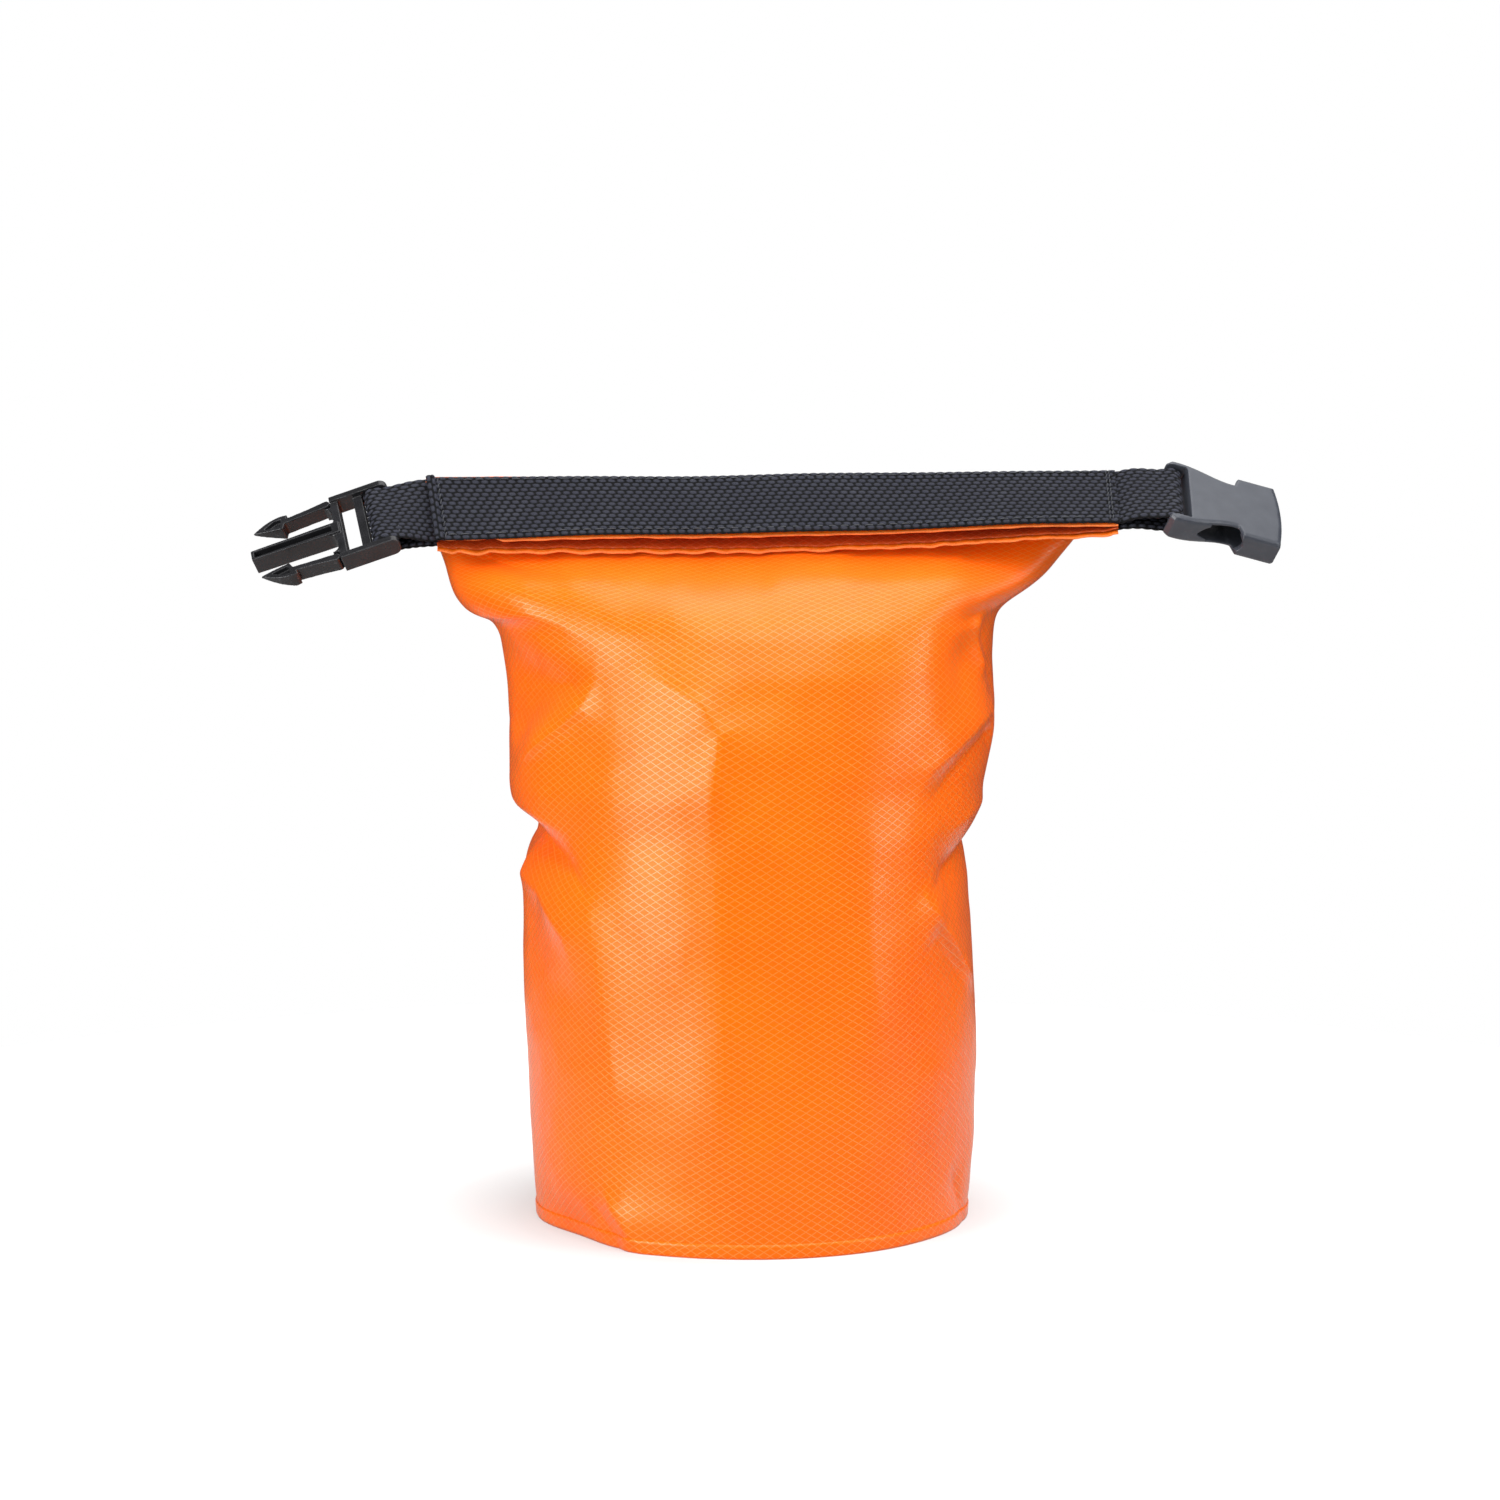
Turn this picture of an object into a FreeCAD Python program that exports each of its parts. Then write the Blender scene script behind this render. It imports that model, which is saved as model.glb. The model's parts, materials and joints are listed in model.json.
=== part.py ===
"""Roll-top dry bag: coated fabric tube, welded round base, stiffened mouth folded once, side-release buckle.

Frame: origin at the centre of the base, where it stands. +Z up, +X along the mouth towards the socket,
-Y towards the side that the mouth folds down on. Millimetres.
"""
import FreeCAD, Part
import math
import os

os.makedirs("parts", exist_ok=True)

Vector = FreeCAD.Vector

# ---- bag ----
BASE_RADIUS = 73.0
WALL = 0.6                    # coated fabric, drawn a little thick so that it stays a solid
BASE_STRAIGHT = 12.0          # height over which the tube is still a true cylinder
BASE_DISC_THICK = 0.8
WELD_BAND_HEIGHT = 4.0
WELD_BAND_THICK = 0.5
SKIN_GAP = 0.05               # air between two pieces that lie on each other
SEAM_TAPE_WIDTH = 16.0
SEAM_TAPE_THICK = 0.4

# ---- mouth ----
MOUTH_LEFT = -107.5
MOUTH_RIGHT = 120.5
MOUTH_LENGTH = MOUTH_RIGHT - MOUTH_LEFT
MOUTH_GAP = 4.4               # clear gap between front and back fabric
NECK_TOP = 242.7              # height of the fold line
FOLD_TILT = 37.0              # the folded mouth leans this far out of the vertical
LIP_LENGTH = 25.6
STIFFENER_THICK = 0.6
WEBBING_WIDTH = 25.0
WEBBING_THICK = 1.4
WEBBING_RISE = 1.0            # the webbing starts this far above the fold line
THREAD = 0.3
STITCH_LENGTH = 2.6
STITCH_PITCH = 4.0

# heights, half widths along X, centre shift along X, half depths along Y, squareness of the bag's sections
SECTIONS = (
    (0.0, BASE_RADIUS, 0.0, BASE_RADIUS, 1.0),
    (BASE_STRAIGHT, BASE_RADIUS, 0.0, BASE_RADIUS, 1.0),
    (60.0, 75.2, 0.0, 72.0, 1.0),
    (120.0, 76.0, 0.0, 71.0, 1.0),
    (165.0, 79.5, 0.0, 67.0, 1.0),
    (190.0, 82.0, 0.5, 60.0, 1.0),
    (205.0, 89.0, 1.0, 44.0, 0.95),
    (214.0, 97.5, 2.5, 28.0, 0.85),
    (222.0, 106.0, 4.0, 15.5, 0.7),
    (232.0, 111.5, 5.5, 8.0, 0.55),
    (NECK_TOP, MOUTH_LENGTH / 2, (MOUTH_LEFT + MOUTH_RIGHT) / 2, MOUTH_GAP / 2 + WALL, 0.4),
)
SECTION_POINTS = 32

# ---- tabs, plug and socket ----
BAR_RADIUS = 2.0
LOOP_CLEARANCE = 0.08
LOOP_INNER = BAR_RADIUS + LOOP_CLEARANCE
LOOP_OUTER = LOOP_INNER + WEBBING_THICK
TAB_END_RADIUS = WEBBING_THICK
LOOP_OPENING = 14.0             # half the angle at which the two layers part before the bar
TAB_SEAM = (1.2, 1.9)            # where the tab is sewn shut, from its root
LEFT_TAB_LENGTH = 10.1
RIGHT_TAB_LENGTH = 16.1

PLUG_BAR = Vector(-121.8, -15.5, 233.8)
PLUG_AXIS = Vector(-0.946, 0.0, -0.325)
PLUG_TILT = 47.0
LEFT_TAB_AXIS = Vector(-0.967, -0.252, -0.03)
SOCKET_BAR = Vector(138.6, -14.0, 240.5)
SOCKET_AXIS = Vector(0.954, 0.158, -0.256)
SOCKET_TILT = 52.0
RIGHT_TAB_AXIS = Vector(0.976, -0.153, 0.15)

FRAME_HALF = 15.2             # half the outside width of either buckle half
FRAME_INNER_HALF = 12.9       # half the clear width beside the webbing
PLUG_RAIL_THICK = 6.6
PLUG_TAIL = -5.0
RAIL_END_RADIUS = 2.6
GRIP_BAR = (3.9, 7.0)
GRIP_LEVELS = (-2.4, 1.4)
CROSSBAR = (12.0, 14.6)
CROSSBAR_THICK = 5.0
SLOT_RADIUS = 2.2             # rounded inner ends of the two slots beside the guide
WEB_HALF = 11.0
GUIDE_END = 43.5
GUIDE_HALF = 2.6
GUIDE_TAPER = 0.5
GUIDE_THICK = 6.6
GUIDE_FLOOR = 1.0
GROOVE_HALF = 1.3
LATCH_THICK = 5.2
LATCH_ROOT = Vector(16.1, 13.2, 0)
LATCH_ROOT_RADIUS = 1.4
ARM_WAIST_OUT = (22.0, 13.7)
ARM_WAIST_IN = (22.0, 11.5)
ARM_NECK_OUT = (32.4, 12.7)
ARM_NECK_IN = (32.4, 10.8)
HEAD_OUTER = ((29.4, 14.5), (33.0, 14.7), (37.6, 13.2), (41.6, 10.6))
HEAD_INNER = ((36.6, 9.4), (31.6, 8.7))
HEAD_POCKET = ((32.4, 9.9), (31.6, 13.3), (34.2, 13.3), (38.0, 11.0))
POCKET_DEPTH = 1.6
TIP_THICK = 0.8

SOCKET_TAIL = -2.5
SOCKET_FACE = 4.6
SOCKET_END = 37.4
SOCKET_THICK = 9.4
SOCKET_CAVITY_THICK = 6.9
SOCKET_EDGE = 1.5             # how far the face's rounded edge comes in
SOCKET_HEAD_HALF = 15.2
SOCKET_NECK_HALF = 11.4
SOCKET_STEP = (21.4, 22.8)
SHOULDER_CURVE = ((5.0, 0.25), (10.0, 1.5), (16.0, 3.3))
TAIL_CHAMFER = 1.5
MOUTH_BOW = 1.5
CAVITY_START = 8.0
CAVITY_HALF = 12.9
WINDOW_CURVE = (
    (8.6, 0.0), (12.0, 0.72), (17.0, 0.99), (21.4, 0.93), (23.4, 0.4),
    (23.4, -0.4), (21.4, -0.93), (17.0, -0.99), (12.0, -0.72))
DIVIDER_END = 20.0
DIVIDER_HALF = 0.9

parts = {}


def unit(vector):
    """A copy of the vector, one long."""
    return vector * (1.0 / vector.Length)


def axes_of(axis, tilt_deg):
    """Long, width and face directions of a flat piece whose width leans tilt_deg out of the vertical."""
    long_dir = unit(axis)
    tilt = math.radians(tilt_deg)
    down = Vector(0, -math.sin(tilt), -math.cos(tilt))
    width_dir = unit(down - long_dir * down.dot(long_dir))
    face_dir = long_dir.cross(width_dir)
    if face_dir.z < 0:
        width_dir = width_dir * -1.0
        face_dir = face_dir * -1.0
    return long_dir, width_dir, face_dir


def placed(shape, origin, long_dir, width_dir, face_dir):
    """The shape moved from its own X, Y, Z onto the three directions at origin."""
    matrix = FreeCAD.Matrix(
        long_dir.x, width_dir.x, face_dir.x, origin.x,
        long_dir.y, width_dir.y, face_dir.y, origin.y,
        long_dir.z, width_dir.z, face_dir.z, origin.z,
        0, 0, 0, 1)
    moved = shape.copy()
    moved.Placement = FreeCAD.Placement(matrix).multiply(shape.Placement)
    return moved


def block(x0, x1, y0, y1, z0, z1):
    """A box between two corners."""
    return Part.makeBox(x1 - x0, y1 - y0, z1 - z0, Vector(x0, y0, z0))


def prism(points, z0, z1):
    """A straight-sided outline in X and Y, raised from z0 to z1."""
    corners = [Vector(x, y, z0) for x, y in points]
    wire = Part.makePolygon(corners + corners[:1])
    return Part.Face(wire).extrude(Vector(0, 0, z1 - z0))


def rounded(shape, radius, chosen):
    """The shape with the edges that chosen accepts rounded off."""
    edges = [edge for edge in shape.Edges if chosen(edge)]
    return shape.makeFillet(radius, edges)


# ---- bag ----
def signed_power(value, power):
    """The value's size raised to a power, with its sign kept."""
    return math.copysign(abs(value) ** power, value)


def section_wire(height, half_x, shift, half_y, square, grow):
    """One closed horizontal section of the bag; grow moves it outwards."""
    points = []
    for step in range(SECTION_POINTS):
        angle = 2 * math.pi * step / SECTION_POINTS
        across = signed_power(math.cos(angle), square)
        depth = signed_power(math.sin(angle), square)
        points.append(Vector(shift + (half_x + grow) * across, (half_y + grow) * depth, height))
    curve = Part.BSplineCurve()
    curve.interpolate(Points=points, PeriodicFlag=True)
    return Part.Wire(curve.toShape())


def body_wall():
    """Fabric tube, open at the mouth and at the base."""
    outer = [section_wire(*row, 0.0) for row in SECTIONS]
    inner = [section_wire(*row, -WALL) for row in SECTIONS]
    faces = Part.makeLoft(outer, False, True).Faces + Part.makeLoft(inner, False, True).Faces
    for end in (0, -1):
        faces.append(Part.makeFace([outer[end], inner[end]], "Part::FaceMakerBullseye"))
    shell = Part.makeShell(faces)
    shell.sewShape()
    solid = Part.makeSolid(Part.Shell(shell.Faces))
    solid.fix(0.001, 0.001, 0.001)
    return solid


def base_disc():
    """Round base, welded inside the foot of the tube."""
    return Part.makeCylinder(BASE_RADIUS - WALL - SKIN_GAP, BASE_DISC_THICK)


def base_weld_band():
    """Welded lap round the foot of the tube."""
    outer = Part.makeCylinder(BASE_RADIUS + SKIN_GAP + WELD_BAND_THICK, WELD_BAND_HEIGHT)
    return outer.cut(Part.makeCylinder(BASE_RADIUS + SKIN_GAP, WELD_BAND_HEIGHT))


def back_depth(x, half_x, shift, half_y, square):
    """How far back the bag's outside lies at x in one section."""
    cosine = signed_power((x - shift) / half_x, 1 / square)
    return half_y * math.sqrt(1 - cosine * cosine) ** square


def back_seam_tape():
    """Tape over the tube's one vertical seam, on the back."""
    half = SEAM_TAPE_WIDTH / 2
    wires = []
    for height, half_x, shift, half_y, square in SECTIONS[1:-1]:
        rims = []
        for lift in (SKIN_GAP, SKIN_GAP + SEAM_TAPE_THICK):
            depths = [back_depth(x, half_x, shift, half_y, square) + lift for x in (-half, 0, half)]
            rims.append([Vector(x, depth, height) for x, depth in zip((-half, 0, half), depths)])
        edges = [
            Part.Arc(*rims[0]).toShape(),
            Part.LineSegment(rims[0][2], rims[1][2]).toShape(),
            Part.Arc(*reversed(rims[1])).toShape(),
            Part.LineSegment(rims[1][0], rims[0][0]).toShape(),
        ]
        wires.append(Part.Wire(edges))
    return Part.makeLoft(wires, True, True)


# ---- rolled mouth, in its own X, Y up the slope, Z outwards from the fold line ----
TILT = math.radians(FOLD_TILT)
FOLD_POINT = Vector(0, -(MOUTH_GAP / 2 + WALL), NECK_TOP)
SLAB_DIRS = (Vector(1, 0, 0), Vector(0, math.sin(TILT), math.cos(TILT)), Vector(0, -math.cos(TILT), math.sin(TILT)))
LIP_START = 0.4
FRONT_LIP = (0.0, WALL)
BACK_LIP = (WALL + MOUTH_GAP, 2 * WALL + MOUTH_GAP)
STIFFENER = (BACK_LIP[1], BACK_LIP[1] + STIFFENER_THICK)
WEBBING = (STIFFENER[1], STIFFENER[1] + WEBBING_THICK)
STITCHES = (WEBBING[1], WEBBING[1] + THREAD)
WEBBING_LOW = WEBBING_RISE - WEBBING_WIDTH
STITCH_INSET = 1.6
STITCH_HALF = 0.35


def on_slab(shape):
    """A piece of the mouth moved into place."""
    return placed(shape, FOLD_POINT, *SLAB_DIRS)


def strip(x0, x1, y0, y1, layer):
    """A flat strip of the mouth in one layer of the stack."""
    return on_slab(block(x0, x1, y0, y1, *layer))


def fold_fabric():
    """The back fabric where it bends over the fold line."""
    inner = MOUTH_GAP + WALL
    outer = inner + WALL
    start = Vector(0, 1, 0)
    stop = Vector(0, -math.cos(TILT), math.sin(TILT))
    middle = unit(start + stop)
    rims = []
    for radius in (inner, outer):
        ends = [FOLD_POINT + direction * radius for direction in (start, middle, stop)]
        rims.append(ends)
    edges = [
        Part.Arc(*rims[0]).toShape(),
        Part.LineSegment(rims[0][2], rims[1][2]).toShape(),
        Part.Arc(*rims[1]).toShape(),
        Part.LineSegment(rims[1][0], rims[0][0]).toShape(),
    ]
    face = Part.Face(Part.Wire(Part.__sortEdges__(edges)))
    face.translate(Vector(MOUTH_LEFT, 0, 0))
    return face.extrude(Vector(MOUTH_LENGTH, 0, 0))


def stitch_row(y):
    """One line of thread along the webbing, each stitch its own solid."""
    count = int((MOUTH_LENGTH - 2 * STITCH_PITCH) / STITCH_PITCH)
    first = (MOUTH_LEFT + MOUTH_RIGHT - (count - 1) * STITCH_PITCH) / 2
    row = []
    for number in range(count):
        x = first + number * STITCH_PITCH
        row.append(strip(x - STITCH_LENGTH / 2, x + STITCH_LENGTH / 2, y - STITCH_HALF, y + STITCH_HALF, STITCHES))
    return Part.makeCompound(row)


def end_stitches(x):
    """Bar tack across the webbing's end that holds a buckle tab."""
    row = []
    for number in range(5):
        y = WEBBING_LOW + 4.5 + number * STITCH_PITCH
        row.append(strip(x - STITCH_HALF, x + STITCH_HALF, y - STITCH_LENGTH / 2, y + STITCH_LENGTH / 2, STITCHES))
    return Part.makeCompound(row)


def end_hem(x0, x1):
    """The webbing's end, turned over and lying on its outer face."""
    layer = (WEBBING[1], WEBBING[1] + WEBBING_THICK)
    return strip(x0, x1, WEBBING_LOW, WEBBING_RISE, layer)


# ---- webbing tabs, in their own X along the tab from the band, Y across, Z outwards ----
def tab_lean(length):
    """How far each layer of a tab opens from its middle plane on its way to the bar."""
    return math.asin((LOOP_OUTER - TAB_END_RADIUS) / length)


def tab(length):
    """Webbing folded round a buckle bar, both layers sewn together at the band."""
    half = TAB_END_RADIUS
    lean = tab_lean(length)
    high = Vector(-half * math.sin(lean), 0, half * math.cos(lean))
    far = Vector(length - LOOP_OUTER * math.sin(lean), 0, LOOP_OUTER * math.cos(lean))
    mirror = [Vector(p.x, 0, -p.z) for p in (far, high)]
    edges = [
        Part.LineSegment(high, far).toShape(),
        Part.Arc(far, Vector(length + LOOP_OUTER, 0, 0), mirror[0]).toShape(),
        Part.LineSegment(mirror[0], mirror[1]).toShape(),
        Part.Arc(mirror[1], Vector(-half, 0, 0), high).toShape(),
    ]
    outside = Part.Face(Part.Wire(edges))
    open_lean = math.radians(LOOP_OPENING)
    tip = Vector(length - LOOP_INNER / math.sin(open_lean), 0, 0)
    touch = Vector(length - LOOP_INNER * math.sin(open_lean), 0, LOOP_INNER * math.cos(open_lean))
    touch_low = Vector(touch.x, 0, -touch.z)
    hole_edges = [
        Part.LineSegment(tip, touch).toShape(),
        Part.Arc(touch, Vector(length + LOOP_INNER, 0, 0), touch_low).toShape(),
        Part.LineSegment(touch_low, tip).toShape(),
    ]
    hole = Part.Face(Part.Wire(hole_edges))
    across = Vector(0, WEBBING_WIDTH, 0)
    solid = outside.extrude(across).cut(hole.extrude(across))
    solid.translate(Vector(0, -WEBBING_WIDTH / 2, 0))
    return solid


def tab_stitches(length):
    """Row of thread that closes the tab, lying on its outer face near the band."""
    row = []
    for number in range(5):
        y = (number - 2) * STITCH_PITCH
        row.append(block(TAB_SEAM[0], TAB_SEAM[1], y - STITCH_LENGTH / 2, y + STITCH_LENGTH / 2,
                         TAB_END_RADIUS, TAB_END_RADIUS + THREAD))
    stitches = Part.makeCompound(row)
    stitches.rotate(Vector(0, 0, 0), Vector(0, 1, 0), -math.degrees(tab_lean(length)))
    return stitches


# ---- plug, in its own X towards the tips, Y across, Z out of its face ----
def plug_frame():
    """Rails, webbing bar, grip bar, crossbar and grooved centre guide, one moulding."""
    half_rail = PLUG_RAIL_THICK / 2
    body = Part.makeCylinder(BAR_RADIUS, 2 * FRAME_INNER_HALF + 2, Vector(0, -FRAME_INNER_HALF - 1, 0), Vector(0, 1, 0))
    for side in (-1, 1):
        low, high = sorted((side * FRAME_INNER_HALF, side * FRAME_HALF))
        rail = block(PLUG_TAIL, CROSSBAR[1], low, high, -half_rail, half_rail)
        tail_edges = lambda edge: edge.BoundBox.XMax < PLUG_TAIL + 0.1 and edge.BoundBox.YLength > 1
        body = body.fuse(rounded(rail, RAIL_END_RADIUS, tail_edges))
    grip_reach = FRAME_INNER_HALF + 0.5
    grip = block(GRIP_BAR[0], GRIP_BAR[1], -grip_reach, grip_reach, GRIP_LEVELS[0], GRIP_LEVELS[1])
    half_cross = CROSSBAR_THICK / 2
    cross = block(CROSSBAR[0], CROSSBAR[1], -FRAME_HALF, FRAME_HALF, -half_cross, half_cross)
    web = block(CROSSBAR[0] + 1, CROSSBAR[1] + SLOT_RADIUS, -WEB_HALF, WEB_HALF, -half_cross, half_cross)
    for side in (-1, 1):
        low, high = sorted((side * GUIDE_HALF, side * (WEB_HALF - 0.5)))
        slot = block(CROSSBAR[1], CROSSBAR[1] + 2 * SLOT_RADIUS + 2, low, high, -CROSSBAR_THICK, CROSSBAR_THICK)
        inner_edges = lambda edge: edge.BoundBox.XMax < CROSSBAR[1] + 0.1 and edge.BoundBox.ZLength > 1
        web = web.cut(rounded(slot, SLOT_RADIUS, inner_edges))
    guide = prism(
        ((CROSSBAR[0] + 1, -GUIDE_HALF), (GUIDE_END, -GUIDE_HALF + GUIDE_TAPER), (GUIDE_END, GUIDE_HALF - GUIDE_TAPER),
         (CROSSBAR[0] + 1, GUIDE_HALF)),
        -GUIDE_THICK / 2, GUIDE_THICK / 2)
    groove = block(CROSSBAR[1] + 1.0, GUIDE_END - GUIDE_FLOOR, -GROOVE_HALF, GROOVE_HALF,
                   GUIDE_FLOOR - GUIDE_THICK / 2, GUIDE_THICK)
    return body.fuse([grip, cross, web, guide]).removeSplitter().cut(groove)


def latch_arm(side):
    """Springy arm with a leaf-shaped barbed head; side is -1 for the upper arm, 1 for the lower one."""
    half = LATCH_THICK / 2
    root = Part.makeCylinder(LATCH_ROOT_RADIUS, LATCH_THICK, Vector(LATCH_ROOT.x, LATCH_ROOT.y, -half))
    beam = prism(
        ((LATCH_ROOT.x, LATCH_ROOT.y + LATCH_ROOT_RADIUS), ARM_WAIST_OUT, ARM_NECK_OUT, ARM_NECK_IN, ARM_WAIST_IN,
         (LATCH_ROOT.x, LATCH_ROOT.y - LATCH_ROOT_RADIUS)),
        -half, half)
    points = [Vector(x, y, -half) for x, y in HEAD_OUTER]
    outer = Part.BSplineCurve()
    outer.interpolate(points)
    inner_points = [Vector(x, y, -half) for x, y in HEAD_INNER]
    inner = Part.BSplineCurve()
    inner.interpolate([points[-1]] + inner_points)
    heel = Part.LineSegment(inner_points[-1], points[0])
    head_wire = Part.Wire([outer.toShape(), inner.toShape(), heel.toShape()])
    head = Part.Face(head_wire).extrude(Vector(0, 0, LATCH_THICK))
    tip_x, tip_y = HEAD_OUTER[-1]
    heel_x = HEAD_INNER[-1][0]
    under = Part.Face(Part.makePolygon([
        Vector(heel_x, 0, -half - 1), Vector(heel_x, 0, -half), Vector(tip_x, 0, half - TIP_THICK),
        Vector(tip_x + 1, 0, half - TIP_THICK), Vector(tip_x + 1, 0, -half - 1), Vector(heel_x, 0, -half - 1)]))
    head = head.cut(under.extrude(Vector(0, 2 * tip_y, 0)))
    pocket = prism(HEAD_POCKET, half - POCKET_DEPTH, half + 1)
    arm = root.fuse([beam, head]).removeSplitter().cut(pocket)
    if side < 0:
        arm = arm.mirror(Vector(0, 0, 0), Vector(0, 1, 0))
    return arm


# ---- socket, in its own X towards its mouth, Y across, Z out of its face ----
def socket_outline(inset):
    """Waisted outline of the socket's face with a gently bowed mouth end, moved in by inset."""
    shoulder = FRAME_HALF - inset
    neck = SOCKET_NECK_HALF - inset
    head = SOCKET_HEAD_HALF - inset
    end = SOCKET_END - inset
    tail = SOCKET_TAIL + inset
    corner_x = end - MOUTH_BOW
    edges = []
    for side in (1, -1):
        shoulder_in = Vector(tail, side * (shoulder - TAIL_CHAMFER), 0)
        shoulder_out = Vector(tail + TAIL_CHAMFER, side * shoulder, 0)
        neck_end = Vector(SOCKET_STEP[0], side * neck, 0)
        waist = Part.BSplineCurve()
        waist.interpolate([shoulder_out] + [Vector(x, side * (shoulder - drop), 0) for x, drop in SHOULDER_CURVE]
                          + [neck_end])
        step_out = Vector(SOCKET_STEP[1], side * head, 0)
        corner = Vector(corner_x, side * head, 0)
        edges += [
            Part.LineSegment(shoulder_in, shoulder_out).toShape(),
            waist.toShape(),
            Part.LineSegment(neck_end, step_out).toShape(),
            Part.LineSegment(step_out, corner).toShape(),
        ]
    tail_in = shoulder - TAIL_CHAMFER
    edges.append(Part.Arc(Vector(corner_x, head, 0), Vector(end, 0, 0), Vector(corner_x, -head, 0)).toShape())
    edges.append(Part.LineSegment(Vector(tail, -tail_in, 0), Vector(tail, tail_in, 0)).toShape())
    return Part.Face(Part.Wire(Part.__sortEdges__(edges)))


def socket_window():
    """Almond-shaped cutter through both side walls, between the two face plates."""
    cavity_half = SOCKET_CAVITY_THICK / 2
    curve = Part.BSplineCurve()
    curve.interpolate([Vector(x, 0, share * cavity_half) for x, share in WINDOW_CURVE], True)
    face = Part.Face(Part.Wire([curve.toShape()]))
    face.translate(Vector(0, -FRAME_HALF - 2, 0))
    return face.extrude(Vector(0, 2 * FRAME_HALF + 4, 0))


def socket_shell():
    """Hollow moulding: two waisted plates, side rails, webbing bar, mouth and side windows."""
    half = SOCKET_THICK / 2
    flank = half - SOCKET_EDGE
    solid = socket_outline(0.0)
    solid.translate(Vector(0, 0, -flank))
    solid = solid.extrude(Vector(0, 0, 2 * flank))
    for side in (-1, 1):
        wires = []
        for inset, height in ((0.0, flank), (0.3 * SOCKET_EDGE, flank + 0.7 * SOCKET_EDGE), (SOCKET_EDGE, half)):
            wire = socket_outline(inset).OuterWire
            wire.translate(Vector(0, 0, side * height))
            wires.append(wire)
        solid = solid.fuse(Part.makeLoft(wires, True, True))
    cavity_half = SOCKET_CAVITY_THICK / 2
    cavity = block(CAVITY_START, SOCKET_END + 5, -CAVITY_HALF, CAVITY_HALF, -cavity_half, cavity_half)
    webbing_well = block(SOCKET_TAIL - 5, SOCKET_FACE, -FRAME_INNER_HALF, FRAME_INNER_HALF, -half - 1, half + 1)
    solid = solid.cut(cavity).cut(socket_window()).cut(webbing_well)
    divider = block(CAVITY_START, DIVIDER_END, -DIVIDER_HALF, DIVIDER_HALF, -cavity_half - 0.3, -cavity_half + 1.0)
    bar = Part.makeCylinder(BAR_RADIUS, 2 * FRAME_INNER_HALF + 2, Vector(0, -FRAME_INNER_HALF - 1, 0), Vector(0, 1, 0))
    return solid.fuse([bar, divider]).removeSplitter()


# ---- assembly ----
PLUG_DIRS = axes_of(PLUG_AXIS, PLUG_TILT)
SOCKET_DIRS = axes_of(SOCKET_AXIS, SOCKET_TILT)


def tab_dirs(tab_axis, width_dir):
    """Directions of a tab: its width follows the buckle's bar, its length leads to the bar."""
    long_dir = unit(tab_axis - width_dir * tab_axis.dot(width_dir))
    return long_dir, width_dir, long_dir.cross(width_dir)


LEFT_TAB_DIRS = tab_dirs(LEFT_TAB_AXIS, PLUG_DIRS[1])
RIGHT_TAB_DIRS = tab_dirs(RIGHT_TAB_AXIS, SOCKET_DIRS[1])
LEFT_TAB_ROOT = PLUG_BAR - LEFT_TAB_DIRS[0] * LEFT_TAB_LENGTH
RIGHT_TAB_ROOT = SOCKET_BAR - RIGHT_TAB_DIRS[0] * RIGHT_TAB_LENGTH

parts["body_wall"] = body_wall()
parts["base_disc"] = base_disc()
parts["base_weld_band"] = base_weld_band()
parts["back_seam_tape"] = back_seam_tape()
parts["fold_fabric"] = fold_fabric()
parts["front_lip"] = strip(MOUTH_LEFT, MOUTH_RIGHT, -LIP_LENGTH, -LIP_START, FRONT_LIP)
parts["back_lip"] = strip(MOUTH_LEFT, MOUTH_RIGHT, -LIP_LENGTH, -LIP_START, BACK_LIP)
parts["stiffener_strip"] = strip(MOUTH_LEFT + 4, MOUTH_RIGHT - 4, WEBBING_LOW + 2, -LIP_START, STIFFENER)
parts["roll_webbing"] = strip(MOUTH_LEFT, MOUTH_RIGHT, WEBBING_LOW, WEBBING_RISE, WEBBING)
parts["left_end_hem"] = end_hem(MOUTH_LEFT, MOUTH_LEFT + 3.0)
parts["upper_stitch_row"] = stitch_row(WEBBING_RISE - STITCH_INSET)
parts["lower_stitch_row"] = stitch_row(WEBBING_LOW + STITCH_INSET)
parts["left_end_stitches"] = end_stitches(MOUTH_LEFT + 4.6)
parts["right_end_stitches"] = end_stitches(MOUTH_RIGHT - 2.4)
parts["left_tab_webbing"] = placed(tab(LEFT_TAB_LENGTH), LEFT_TAB_ROOT, *LEFT_TAB_DIRS)
parts["left_tab_stitches"] = placed(tab_stitches(LEFT_TAB_LENGTH), LEFT_TAB_ROOT, *LEFT_TAB_DIRS)
parts["right_tab_webbing"] = placed(tab(RIGHT_TAB_LENGTH), RIGHT_TAB_ROOT, *RIGHT_TAB_DIRS)
parts["right_tab_stitches"] = placed(tab_stitches(RIGHT_TAB_LENGTH), RIGHT_TAB_ROOT, *RIGHT_TAB_DIRS)
parts["plug_frame"] = placed(plug_frame(), PLUG_BAR, *PLUG_DIRS)
parts["plug_upper_latch"] = placed(latch_arm(-1), PLUG_BAR, *PLUG_DIRS)
parts["plug_lower_latch"] = placed(latch_arm(1), PLUG_BAR, *PLUG_DIRS)
parts["socket_shell"] = placed(socket_shell(), SOCKET_BAR, *SOCKET_DIRS)

for name, shape in parts.items():
    shape.exportStep("parts/" + name + ".step")
    solids = len(shape.Solids)
    print(name, "solids", solids, "valid", shape.isValid(), "volume", round(shape.Volume, 1))
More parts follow.
